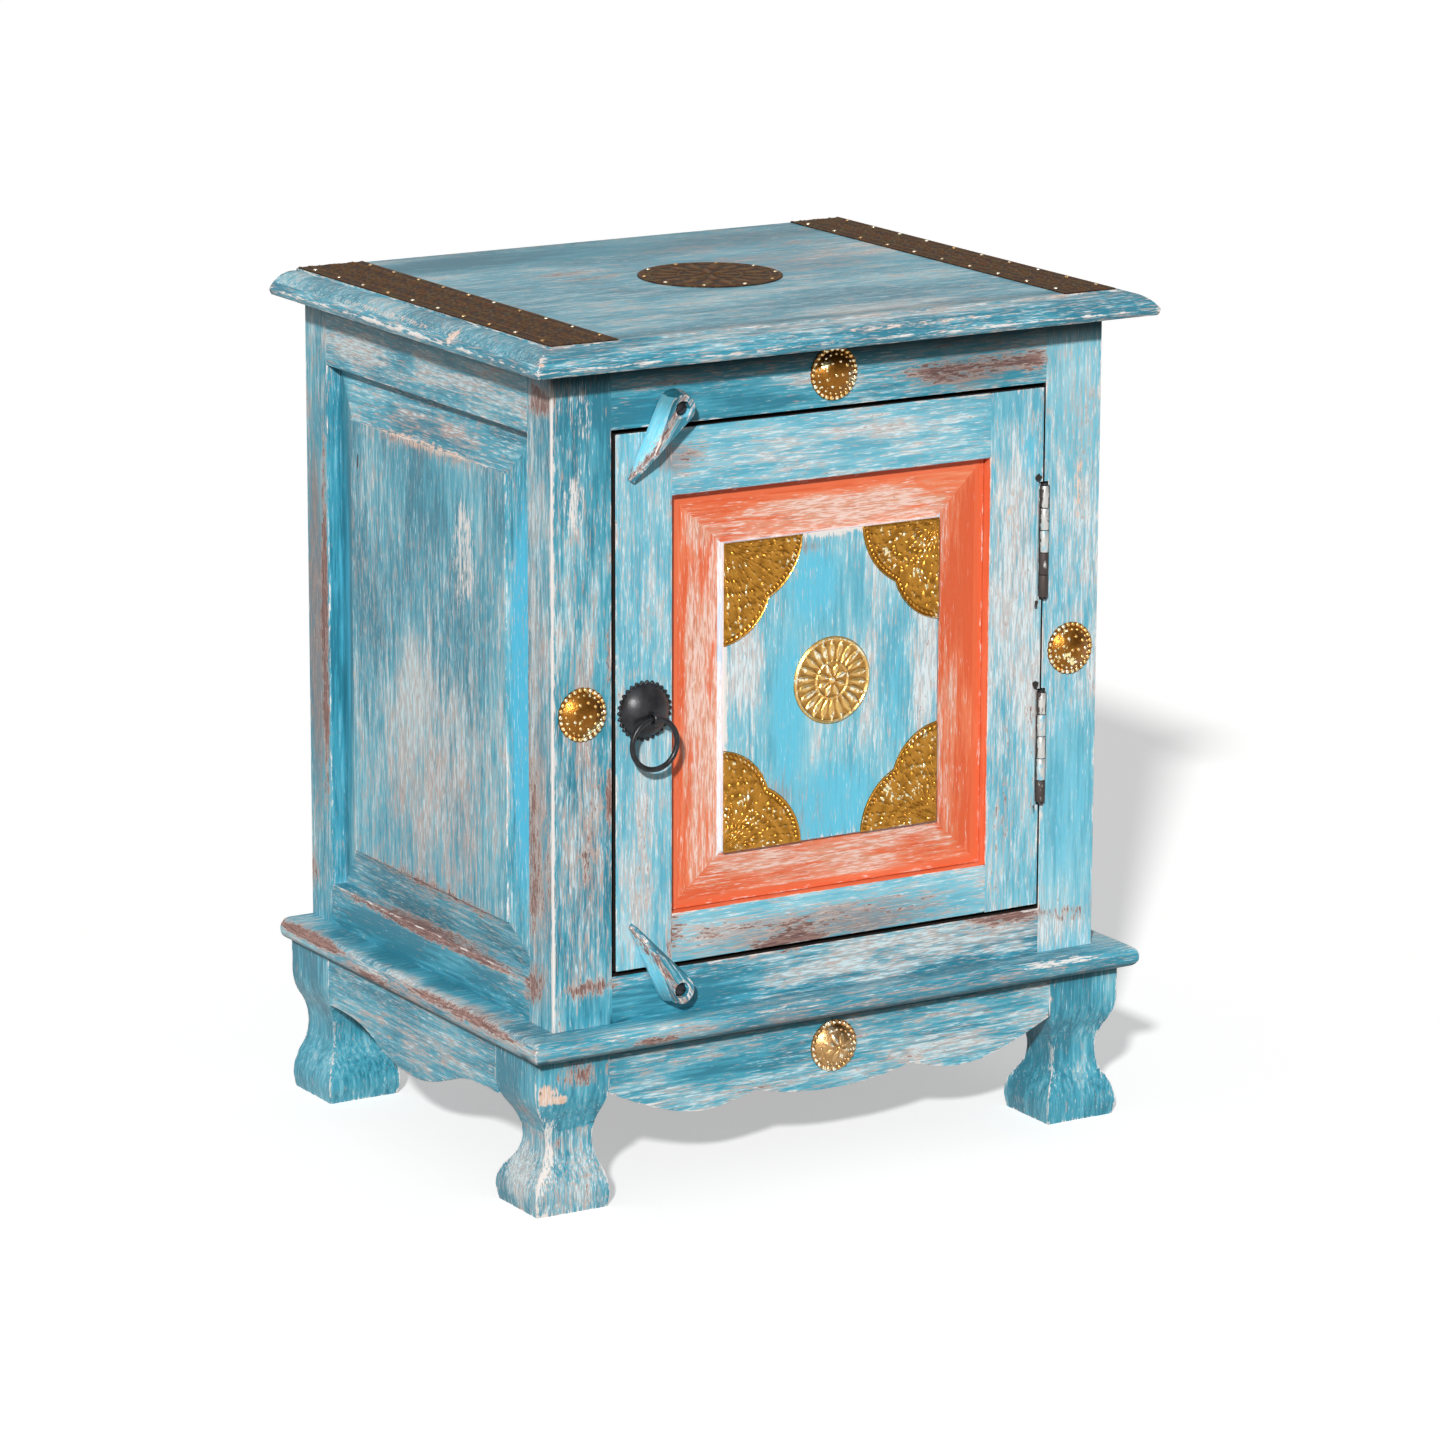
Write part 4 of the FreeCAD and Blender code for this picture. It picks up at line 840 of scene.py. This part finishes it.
def petals(r, angle, count, inner, outer, width=0.8):
    # a ring of pointed leaves: 1 on the spine of a leaf, 0 between leaves
    if not inner < r < outer:
        return 0.0
    share = (r - inner) / (outer - inner)
    across = abs((angle * count / (2 * pi)) % 1 - 0.5) * 2
    half = width * sin(pi * min(share * 0.85 + 0.1, 1))
    return max(0.0, 1 - (across / max(half, 0.05)) ** 2)


def middleOf(node):
    lo, hi = boxes[node]
    return [(a + b) / 2 for a, b in zip(lo, hi)]


def radiusOf(node):
    return (boxes[node][1][0] - boxes[node][0][0]) / 2


# pressed rosette in the middle of the field: rim, ring of ridged petals, small eight-petal flower
rosette = {"radius": radiusOf("door_rosette"), "middle": middleOf("door_rosette"), "face": boxes["door_rosette"][1][1],
           "base": 0.55, "relief": 1.15, "petals": 22, "inner": 8}


def rosetteHeight(r, angle):
    rim = ridge(r, 24.2, 1.3)
    ring = ridge(r, 10.6, 1.0)
    leaf = petals(r, angle, rosette["petals"], 11.4, 23.2, 0.9)
    bead = ridge(r, 21.0, 2.0) * leaf
    flower = petals(r, angle, rosette["inner"], 2.4, 9.6, 0.85)
    core = 1.0 if r < 1.2 else ridge(r, 1.2, 1.2)
    return max(rim, ring * 0.9, leaf * 0.75, bead, flower * 0.9, core)


def makeRosette(c):
    ringCount, around = 44, 288

    def at(i, k):
        r, angle = c["radius"] * i / ringCount, 2 * pi * k / around
        high = rosetteHeight(r, angle)
        return (c["middle"][0] + r * cos(angle), c["face"] - c["base"] - c["relief"] * high,
                c["middle"][2] + r * sin(angle)), high

    mesh = sheetMesh("doorRosette", at, range(1, ringCount + 1), around, True, c["face"], 1, rosetteBrass)
    addPiece(mesh, "doorRosette", ["door_rosette"])


makeRosette(rosette)

# corner plates: a two-lobed edge with a lip and a rope, veins and scrolls that spread from the corner, pressed beads
cornerPlate = {"notch": (0.57, 0.58), "bulge": 0.1, "base": 0.35, "relief": 1.3, "cell": 4.0}


def circleThrough(a, b, c):
    (ax, az), (bx, bz), (cx, cz) = a, b, c
    d = 2 * (ax * (bz - cz) + bx * (cz - az) + cx * (az - bz))
    ux = ((ax * ax + az * az) * (bz - cz) + (bx * bx + bz * bz) * (cz - az) + (cx * cx + cz * cz) * (az - bz)) / d
    uz = ((ax * ax + az * az) * (cx - bx) + (bx * bx + bz * bz) * (ax - cx) + (cx * cx + cz * cz) * (bx - ax)) / d
    return ux, uz, hypot(ax - ux, az - uz)


def plateArcs(reachX, reachZ, c):
    nx, nz = c["notch"]
    first = ((1 + nx) / 2 + c["bulge"] / 2, nz / 2 + c["bulge"])
    second = (nx / 2 + c["bulge"], (1 + nz) / 2 + c["bulge"] / 2)
    at = lambda share: (share[0] * reachX, share[1] * reachZ)
    return (circleThrough(at((1, 0)), at(first), at((nx, nz))), circleThrough(at((nx, nz)), at(second), at((0, 1))),
            atan2(nz * reachZ, nx * reachX))


def plateReach(arcs, angle):
    # distance from the corner to the lobed edge; angle 0 runs along the rail, 90 degrees down the stile
    ux, uz, radius = arcs[0] if angle < arcs[2] else arcs[1]
    ahead = ux * cos(angle) + uz * sin(angle)
    return ahead + sqrt(max(0.0, ahead * ahead - ux * ux - uz * uz + radius * radius))


def beadField(x, z, cell, mixed):
    i, j = floor(x / cell), floor(z / cell)
    chance = (sin(i * 12.9898 + j * 78.233 + mixed) * 43758.5453) % 1
    if chance < 0.5:
        return 0.0
    mx, mz = (i + 0.3 + 0.4 * ((chance * 7.3) % 1)) * cell, (j + 0.3 + 0.4 * ((chance * 13.7) % 1)) * cell
    radius = cell * (0.18 + 0.16 * ((chance * 29.1) % 1))
    return max(0.0, 1 - (hypot(x - mx, z - mz) / radius) ** 2)


def plateHeight(x, z, inward, c, mixed):
    r, angle = hypot(x, z), atan2(z, x)
    if inward < 3.6:
        # a plain lip, then short slanting cuts like a rope
        return max(0.6 * ridge(inward, 0.6, 0.7),
                   0.9 * ridge(inward, 2.3, 1.2) * ridge((angle * 17 + 0.16 * inward) % 1, 0.5, 0.42))
    bend = sin(6 * angle + 0.17 * r + mixed)
    vein = ridge((angle * 6.5 + 0.25 * bend + 0.02 * r) % 1, 0.5, 0.24) * min(1.0, r / 16)
    cuts = ridge((0.24 * r + 1.3 * angle + 0.3 * bend) % 1, 0.5, 0.4)
    scroll = 0.5 + 0.5 * sin(0.55 * r + 2.4 * bend)
    return max(0.12 + 0.30 * scroll * min(1.0, r / 10), vein * (0.35 + 0.65 * cuts), beadField(x, z, c["cell"], mixed))


def makeCorner(place, side, c):
    node = "door_corner_" + place + "_" + side
    lo, hi = boxes[node]
    wayX, wayZ = (1 if side == "left" else -1), (-1 if place == "top" else 1)
    x0, z0 = (lo[0] if side == "left" else hi[0]), (hi[2] if place == "top" else lo[2])
    arcs = plateArcs(hi[0] - lo[0], hi[2] - lo[2], c)
    mixed = {"topleft": 0.4, "topright": 2.9, "bottomleft": 4.1, "bottomright": 5.6}[place + side]
    steps, around = 84, 130

    def at(i, k):
        share, angle = 0.004 + 0.996 * i / steps, pi / 2 * k / around
        edge = plateReach(arcs, angle)
        x, z = edge * share * cos(angle), edge * share * sin(angle)
        high = plateHeight(x, z, edge * (1 - share) * 0.86, c, mixed)
        fade = min(1.0, min(x, z) * 0.8 + 0.2)
        return (x0 + wayX * x, hi[1] - c["base"] - c["relief"] * high * fade, z0 + wayZ * z), high

    name = pieceName(node)
    mesh = sheetMesh(name, at, range(steps + 1), around + 1, False, hi[1], 1, brass)
    addPiece(mesh, name, [node])


for place in ("top", "bottom"):
    for side in ("left", "right"):
        makeCorner(place, side, cornerPlate)

# domed studs: scalloped rim, smooth dome or small flower, rings of beads laid on by a node tree
stud = {"radius": 15.5, "rise": 0.8, "dome": 12.6, "height": 5.5, "scallops": 24}
studPlaces = {"PostLeft": (-163.9, -134.0, 288.2), "PostRight": (163.9, -134.0, 288.2), "Rail": (0.0, -134.0, 466.15),
              "Apron": (0.0, -139.2, 72.6)}


def domeAt(r, radius, height):
    ball = (radius * radius + height * height) / (2 * height)
    return max(0.0, sqrt(max(0.0, ball * ball - r * r)) - (ball - height))


def studHeight(r, c):
    return c["rise"] + domeAt(r, c["dome"] + 0.6, c["height"] + 0.3)


def makeStud(key, place, c):
    flower = key == "Apron"
    ringCount, around = 30, 144

    def at(i, k):
        r, angle = c["radius"] * i / ringCount, 2 * pi * k / around
        scallop = 1 - 0.025 * (1 - abs(cos(angle * c["scallops"] / 2)))
        x = r * (scallop if i > ringCount - 3 else 1)
        high = studHeight(r, c)
        mark = 0.3
        if flower:
            leaf = petals(r, angle, 8, 1.8, 8.4, 0.8)
            high += 0.5 * leaf
            mark = 0.25 + 0.7 * leaf
        if r > c["dome"]:
            mark = 0.2
        return (place[0] + x * cos(angle), place[1] - high, place[2] + x * sin(angle)), mark

    mesh = sheetMesh("stud" + key, at, range(1, ringCount + 1), around, True, place[1], 1,
                     paleBrass if flower else studBrass)
    addPiece(mesh, "stud" + key, ["studs"])


for key, place in studPlaces.items():
    makeStud(key, place, stud)
print("brass pressed")


# one tree sets a small shape on every point of a mesh
def makeRepeatTree():
    tree = bpy.data.node_groups.new("smallPartsOnPoints", "GeometryNodeTree")
    sockets = [("Geometry", "NodeSocketGeometry"), ("Shape", "NodeSocketObject"), ("Least size", "NodeSocketFloat"),
               ("Most size", "NodeSocketFloat"), ("Seed", "NodeSocketInt"), ("Material", "NodeSocketMaterial")]
    for name, kind in sockets:
        tree.interface.new_socket(name, in_out="INPUT", socket_type=kind)
    tree.interface.new_socket("Geometry", in_out="OUTPUT", socket_type="NodeSocketGeometry")
    given = addNode(tree, "NodeGroupInput").outputs
    shape = addNode(tree, "GeometryNodeObjectInfo", {"Object": given["Shape"]})
    size = addNode(tree, "FunctionNodeRandomValue",
                   {2: given["Least size"], 3: given["Most size"], "Seed": given["Seed"]}, data_type="FLOAT")
    laid = addNode(tree, "GeometryNodeInstanceOnPoints",
                   {"Points": given["Geometry"], "Instance": shape.outputs["Geometry"], "Scale": size.outputs[1]})
    real = addNode(tree, "GeometryNodeRealizeInstances", {0: laid.outputs[0]})
    done = addNode(tree, "GeometryNodeSetMaterial", {"Geometry": real.outputs[0], "Material": given["Material"]})
    addNode(tree, "NodeGroupOutput", {0: done.outputs[0]})
    return tree, {item.name: item.identifier for item in tree.interface.items_tree if item.in_out == "INPUT"}


repeatTree, repeatInputs = makeRepeatTree()


def repeat(name, shape, points, sizes, seed, material, nodes):
    cloud = bpy.data.meshes.new(name + "Points")
    cloud.from_pydata([[v * mm for v in p] for p in points], [], [])
    raw = newObject(name + "Raw", cloud)
    modifier = raw.modifiers.new("repeat", "NODES")
    modifier.node_group = repeatTree
    given = {"Shape": shape, "Least size": sizes[0], "Most size": sizes[1], "Seed": seed, "Material": material}
    for key, value in given.items():
        modifier[repeatInputs[key]] = value
    settle(raw, name, nodes)


def seed(name, squash):
    # a small closed bead of radius 1 mm, flattened along one axis
    rings, around = 5, 10
    bm = bmesh.new()
    bmesh.ops.create_uvsphere(bm, u_segments=around, v_segments=rings, radius=mm,
                              matrix=Matrix.Diagonal(Vector(squash)).to_4x4())
    layer = bm.verts.layers.float.new("relief")
    for vert in bm.verts:
        vert[layer] = 0.85
    return newObject(name, meshFrom(bm, name))


plainRings = [(14.1, 26, 1.4), (11.4, 20, 0.85), (7.6, 9, 1.05), (2.0, 2, 1.1)]
beadRings = {"PostLeft": plainRings, "PostRight": plainRings, "Rail": plainRings,
             "Apron": [(14.0, 24, 1.4), (10.2, 20, 0.95), (0.0, 1, 1.5)]}
bead = seed("bead", (1, 0.75, 1))
for key, rings in beadRings.items():
    x, y, z = studPlaces[key]
    for index, (r, count, size) in enumerate(rings):
        high = studHeight(r, stud)
        points = [(x + r * cos(a), y - high - 0.1, z + r * sin(a)) for a in turns(count)]
        repeat("beads" + key + str(index), bead, points, (size * 0.94, size * 1.04), 3 + index,
               paleBrass if key == "Apron" else rosetteBrass, ["studs"])

# embossed copper: strips across the top and a round plate, held by small nails
strips = {"top_strip_left": (-187.2, -144.2), "top_strip_right": (152.2, 187.2)}
stripLook = {"front": -141.2, "back": 159.2, "base": 499.0, "thick": 0.6, "relief": 0.55, "pitch": 15.0,
             "nailEvery": 30.0, "nailInset": 3.4, "nailUp": 0.9}


def stripHeight(across, along, width):
    side = min(across, width - across)
    border = max(ridge(side, 1.2, 1.2), ridge(side, 7.0, 0.9))
    if side < 8:
        return max(border, 0.5 * ridge((along / 4) % 1, 0.5, 0.5) * ridge(side, 4.4, 1.8))
    pitch = stripLook["pitch"]
    u, v = (across - width / 2) / pitch, along / pitch
    shift = 0.5 if int(floor(u + 0.5)) % 2 else 0.0
    cu, cv = u - floor(u + 0.5), v + shift - floor(v + shift + 0.5)
    r, angle = hypot(cu, cv), atan2(cv, cu)
    return max(petals(r, angle, 8, 0.08, 0.46, 0.85), ridge(r, 0, 0.08), 0.6 * ridge(r, 0.5, 0.06))


def makeStrip(node, span, c):
    width, length = span[1] - span[0], c["back"] - c["front"]
    nx, ny = int(width), int(length)

    def at(j, i):
        high = stripHeight(width * i / nx, length * j / ny, width)
        return (span[0] + width * i / nx, c["front"] + length * j / ny,
                c["base"] + c["thick"] + c["relief"] * high), high

    name = pieceName(node)
    mesh = sheetMesh(name, at, range(ny + 1), nx + 1, False, c["base"], 2, copper)
    addPiece(mesh, name, [node])


for node, span in strips.items():
    makeStrip(node, span, stripLook)

disc = {"middle": middleOf("top_disc"), "radius": radiusOf("top_disc"), "relief": 0.5, "nails": 10, "nailInset": 3.2}


def makeDisc(c):
    ringCount, around = 48, 288

    def at(i, k):
        share, angle = i / ringCount, 2 * pi * k / around
        high = max(ridge(share, 0.97, 0.03), ridge(share, 0.84, 0.025), petals(share, angle, 30, 0.86, 0.95, 0.9) * 0.8,
                   petals(share, angle, 16, 0.46, 0.82, 0.85), ridge(share, 0.44, 0.03),
                   petals(share, angle, 8, 0.08, 0.42, 0.85))
        return (c["middle"][0] + c["radius"] * share * cos(angle), c["middle"][1] + c["radius"] * share * sin(angle),
                stripLook["base"] + stripLook["thick"] + c["relief"] * high), high

    mesh = sheetMesh("topDisc", at, range(1, ringCount + 1), around, True, stripLook["base"], 2, copper)
    addPiece(mesh, "topDisc", ["top_disc"])


makeDisc(disc)
nailPoints = []
for span in strips.values():
    for x in (span[0] + stripLook["nailInset"], span[1] - stripLook["nailInset"]):
        count = int((stripLook["back"] - stripLook["front"]) / stripLook["nailEvery"])
        for k in range(count):
            y = stripLook["front"] + stripLook["nailEvery"] * (k + 0.5)
            nailPoints.append((x, y, stripLook["base"] + stripLook["nailUp"]))
for k in range(disc["nails"]):
    angle, reach = 2 * pi * (k + 0.5) / disc["nails"], disc["radius"] - disc["nailInset"]
    nailPoints.append((disc["middle"][0] + reach * cos(angle), disc["middle"][1] + reach * sin(angle),
                       stripLook["base"] + stripLook["nailUp"]))
nail = seed("nailHead", (1, 1, 0.55))
repeat("topNails", nail, nailPoints, (1.15, 1.45), 5, paleBrass, [])
bpy.data.objects.remove(bead)
bpy.data.objects.remove(nail)
print("copper and nails laid")


def turnedMesh(name, profile, centre, around, wobble):
    # a round head or plate of black iron: wobble scales the radius and lifts the face
    def at(i, k):
        (r, high), angle = profile[i], 2 * pi * k / around
        scale, lift = wobble(r, angle)
        return (centre[0] + r * scale * cos(angle), centre[1] - high - lift, centre[2] + r * scale * sin(angle)), 0.5

    return sheetMesh(name, at, range(len(profile)), around, True, centre[1], 1, iron)


def tubeMesh(name, centres, outwards, across, halfOut, halfAcross, sides, material, closed=True):
    # a wire swept along its centres, round a loop or, where it isn't closed, as a straight bar
    bm = bmesh.new()
    rings = []
    for centre, out, side in zip(centres, outwards, across):
        ring = []
        for angle in turns(sides):
            ring.append(bm.verts.new((centre + out * halfOut * cos(angle) + side * halfAcross * sin(angle)) * mm))
        rings.append(ring)
    skin(bm, rings + rings[:1] if closed else rings)
    if not closed:
        bm.faces.new(rings[0])
        bm.faces.new(rings[-1])
    bmesh.ops.recalc_face_normals(bm, faces=bm.faces)
    return meshFrom(bm, name, material)


# a straight round bar from front to back
def barMesh(name, x, z, ends, radius, sides):
    axes = [Vector((0, 0, 1))] * 2, [Vector((1, 0, 0))] * 2
    return tubeMesh(name, [Vector((x, y, z)) for y in ends], *axes, radius, radius, sides, iron, False)


def joinMeshes(name, meshes):
    bm = bmesh.new()
    for mesh in meshes:
        bm.from_mesh(mesh)
    joined = bpy.data.meshes.new(name)
    bm.to_mesh(joined)
    bm.free()
    for material in meshes[0].materials:
        joined.materials.append(material)
    for mesh in meshes:
        bpy.data.meshes.remove(mesh)
    joined.set_sharp_from_angle(angle=radians(45))
    return joined


pull = {"centre": (-123.75, -134.0, 285.6), "teeth": 30, "dome": 15.6, "height": 8.0, "thick": 1.4,
        "rim": [(15.55, -0.1), (15.95, -0.35), (16.6, -0.2), (17.2, -0.4), (17.6, -0.9)], "toothed": 15.9,
        "eye": (-123.75, -145.8, 283.1), "hoop": 2.95, "hoopWire": (1.0, 1.75), "stem": (-141.9, -114.2),
        "stemRadius": 1.75, "ringRadius": 14.5, "wire": 1.6}


def makePull(c):
    def teeth(r, angle):
        wave = 0.5 + 0.5 * cos(angle * c["teeth"])
        return (1 - 0.09 * (1 - wave ** 0.6), 0.45 * wave) if r > c["toothed"] else (1, 0)

    radii = [c["dome"] * k / 20 for k in range(1, 20)]
    profile = [(r, c["thick"] + domeAt(r, c["dome"], c["height"])) for r in radii]
    profile += [(r, c["thick"] + drop) for r, drop in c["rim"]]
    addPiece(turnedMesh("pullPlate", profile, c["centre"], 288, teeth), "pullPlate", ["pull_plate"])

    eye = Vector(c["eye"])
    loop = [Vector((0, cos(a), sin(a))) for a in turns(40)]
    sideways = [Vector((1, 0, 0))] * len(loop)
    hoop = tubeMesh("hoop", [eye + v * c["hoop"] for v in loop], loop, sideways, *c["hoopWire"], 14, iron)
    stem = barMesh("stem", eye.x, eye.z, c["stem"], c["stemRadius"], 18)
    addPiece(joinMeshes("pullStaple", [hoop, stem]), "pullStaple", ["pull_staple"])

    hub = eye - Vector((0, 0, c["ringRadius"]))
    loop = [Vector((sin(a), 0, cos(a))) for a in turns(96)]
    forward = [Vector((0, 1, 0))] * len(loop)
    centres = [hub + v * c["ringRadius"] for v in loop]
    mesh = tubeMesh("pullRing", centres, loop, forward, c["wire"], c["wire"], 16, iron)
    addPiece(mesh, "pullRing", ["pull_ring"])


makePull(pull)

# rust is given from the lowest knuckle up: 0 painted, 1 rusty
hinge = {"x": 144.2, "y": -135.0, "middles": {"upper": 354.1, "lower": 231.1}, "length": 66.0, "barrel": 2.8,
         "count": 5, "play": 0.3, "thick": 1.0, "gap": 0.4, "reach": 17.0, "leafFront": 3.6, "tongueFront": 0.6,
         "headRadius": 2.1, "headHigh": 1.4,
         "rust": {"upper": (0.85, 0.8, 0.45, 0.5, 0.62), "lower": (0.75, 0.4, 0.5, 0.38, 0.62)}}


def rodMesh(name, start, end, radius, sides, bevel, material, rust=0.1):
    # an upright rod with both ends rounded over; darker towards its back and at both ends: painted shade where the
    # barrel turns away and in the gaps, with some dirt
    def ring(z, r):
        return [Vector((start[0] + r * cos(a), start[1] + r * sin(a), z)) * mm for a in turns(sides)]

    bm = bmesh.new()
    layer = bm.verts.layers.float.new("relief")
    levels = [(start[2], radius - bevel), (start[2] + bevel * 0.4, radius - bevel * 0.3), (start[2] + bevel, radius),
              (end - bevel, radius), (end - bevel * 0.4, radius - bevel * 0.3), (end, radius - bevel)]
    rings = [[bm.verts.new(p) for p in ring(z, r)] for z, r in levels]
    for index, row in enumerate(rings):
        for k, vert in enumerate(row):
            front = max(0.0, cos(2 * pi * k / sides + radians(110)))
            vert[layer] = rust + 0.7 * (1 - front) ** 1.5 + (0.4 if index in (0, 5) else 0)
    skin(bm, rings)
    bm.faces.new(rings[0])
    bm.faces.new(rings[-1])
    bmesh.ops.recalc_face_normals(bm, faces=bm.faces)
    return meshFrom(bm, name, material)


def leafPlate(name, x0, x1, back, spans, material):
    # a thin plate in tongues that reach each knuckle, joined behind them
    bm = bmesh.new()
    layer = bm.verts.layers.float.new("relief")
    for z0, z1, front in spans:
        bmesh.ops.create_cube(bm, size=1,
                              matrix=Matrix.Translation(Vector(((x0 + x1) / 2, (front + back) / 2, (z0 + z1) / 2)) * mm)
                              @ Matrix.Diagonal(Vector(((x1 - x0) * mm, (back - front) * mm, (z1 - z0) * mm, 1))))
    bmesh.ops.bevel(bm, geom=bm.edges[:], offset=0.15 * mm, offset_type="OFFSET", segments=1, affect="EDGES")
    for vert in bm.verts:
        vert[layer] = 0.75
    return meshFrom(bm, name, material, smooth=False)


def makeHinges(c):
    for place, middle in c["middles"].items():
        low, step = middle - c["length"] / 2, c["length"] / c["count"]
        for leaf, way in {"case": 1, "door": -1}.items():
            mine = [k for k in range(c["count"]) if (k % 2 == 0) == (way > 0)]
            inner = c["x"] + way * c["gap"] / 2
            x0, x1 = sorted((inner, inner + way * c["thick"]))
            meshes, spans = [], [(low, low + c["length"], c["y"] + c["leafFront"])]
            for k in mine:
                z0 = low + k * step + (c["play"] / 2 if k else 0)
                z1 = low + (k + 1) * step - (c["play"] / 2 if k < c["count"] - 1 else 0)
                meshes.append(rodMesh("knuckle", (c["x"], c["y"], z0), z1, c["barrel"], 28, 0.35, steel,
                                      c["rust"][place][k]))
                spans.append((z0, z1, c["y"] + c["tongueFront"]))
            meshes.append(leafPlate("plate", x0, x1, c["y"] + c["reach"], spans, steel))
            node = "hinge_" + place + "_" + leaf + "_leaf"
            addPiece(joinMeshes(pieceName(node), meshes), pieceName(node), [node])
    heads = []
    for middle in c["middles"].values():
        for z in (middle - c["length"] / 2 - c["headHigh"], middle + c["length"] / 2):
            heads.append(rodMesh("pinHead", (c["x"], c["y"], z), z + c["headHigh"], c["headRadius"], 24, 0.5, iron))
    addPiece(joinMeshes("hingePins", heads), "hingePins", ["hinge_pins"])


makeHinges(hinge)

# the latches turn on round-headed slotted screws, driven into the rails
screw = {"head": 4.0, "deep": 2.2, "rise": 0.7, "shank": 2.0, "dome": 1.5, "slot": 0.5,
         "slotTurn": {"upper": 35, "lower": -20}}


def makeLatchScrews(c):
    lo, hi = boxes["latch_screws"]
    under = lo[1] + c["deep"]
    meshes = []
    for place, z in latch["pivotZ"].items():
        turn = radians(c["slotTurn"][place])

        def slot(r, angle):
            return 1, (-0.8 if abs(r * sin(angle - turn)) < c["slot"] and r < c["head"] - 0.3 else 0)

        radii = [c["head"] * k / 18 for k in range(1, 18)]
        profile = [(r, c["rise"] + domeAt(r, c["head"], c["dome"])) for r in radii] + [(c["head"], 0.4)]
        meshes.append(turnedMesh("head", profile, (latch["pivotX"], under, z), 120, slot))
        meshes.append(barMesh("shank", latch["pivotX"], z, (under, hi[1]), c["shank"], 16))
    addPiece(joinMeshes("latchScrews", meshes), "latchScrews", ["latch_screws"])


makeLatchScrews(screw)
print("hardware made")


studio = {"sun": 3.55, "sunFrom": (-0.62, -0.78, 0.52), "sunSoft": 3.0, "fill": 0.2, "floor": "#E3E3E2",
          "bounce": "#9C9C9B", "floorLift": 0.455}


def makeStudio(c):
    bpy.ops.mesh.primitive_plane_add(size=40)
    ground = bpy.context.object
    ground.name = "floor"
    material, tree, _ = startMaterial("palePaper")
    rays = addNode(tree, "ShaderNodeLightPath").outputs
    seen = addNode(tree, "ShaderNodeMath", {0: rays["Is Camera Ray"], 1: rays["Is Glossy Ray"]},
                   operation="MAXIMUM").outputs[0]
    shade = addNode(tree, "ShaderNodeMix", {0: rays["Is Diffuse Ray"], 6: c["floor"], 7: c["bounce"]},
                    data_type="RGBA").outputs[2]
    matt = addNode(tree, "ShaderNodeBsdfDiffuse", {"Color": shade})
    lift = addNode(tree, "ShaderNodeMath", {0: seen, 1: c["floorLift"]}, operation="MULTIPLY").outputs[0]
    glow = addNode(tree, "ShaderNodeEmission", {"Color": "#FFFFFF", "Strength": lift})
    both = addNode(tree, "ShaderNodeAddShader", {0: matt.outputs[0], 1: glow.outputs[0]})
    addNode(tree, "ShaderNodeOutputMaterial", {0: both.outputs[0]})
    ground.data.materials.append(material)

    sun = newObject("key", bpy.data.lights.new("key", "SUN"))
    sun.data.energy = c["sun"]
    sun.data.angle = radians(c["sunSoft"])
    sun.rotation_euler = Vector(c["sunFrom"]).to_track_quat("Z", "Y").to_euler()

    world = bpy.data.worlds.new("studio")
    world.use_nodes = True
    tree = world.node_tree
    tree.nodes.clear()
    rays = addNode(tree, "ShaderNodeLightPath").outputs
    where = addNode(tree, "ShaderNodeTexCoord").outputs["Generated"]
    parts = addNode(tree, "ShaderNodeSeparateXYZ", {0: where}).outputs
    ahead = blendOf([(parts["Y"], 0.45), (parts["Z"], 0.75), (parts["X"], -0.25)], 0.45)
    soft = addNode(tree, "ShaderNodeMapRange", {0: ahead, 1: 0.0, 2: 1.0, 3: 0.15, 4: 0.85}).outputs[0]
    level = addNode(tree, "ShaderNodeMix", {0: rays["Is Glossy Ray"], 2: c["fill"], 3: soft}).outputs[0]
    level = addNode(tree, "ShaderNodeMix", {0: rays["Is Camera Ray"], 2: level, 3: 1.0}).outputs[0]
    back = addNode(tree, "ShaderNodeBackground", {"Color": "#FFFFFF", "Strength": level})
    addNode(tree, "ShaderNodeOutputWorld", {0: back.outputs[0]})
    scene.world = world


makeStudio(studio)
scene.view_settings.view_transform = "Standard"
print("studio lit")
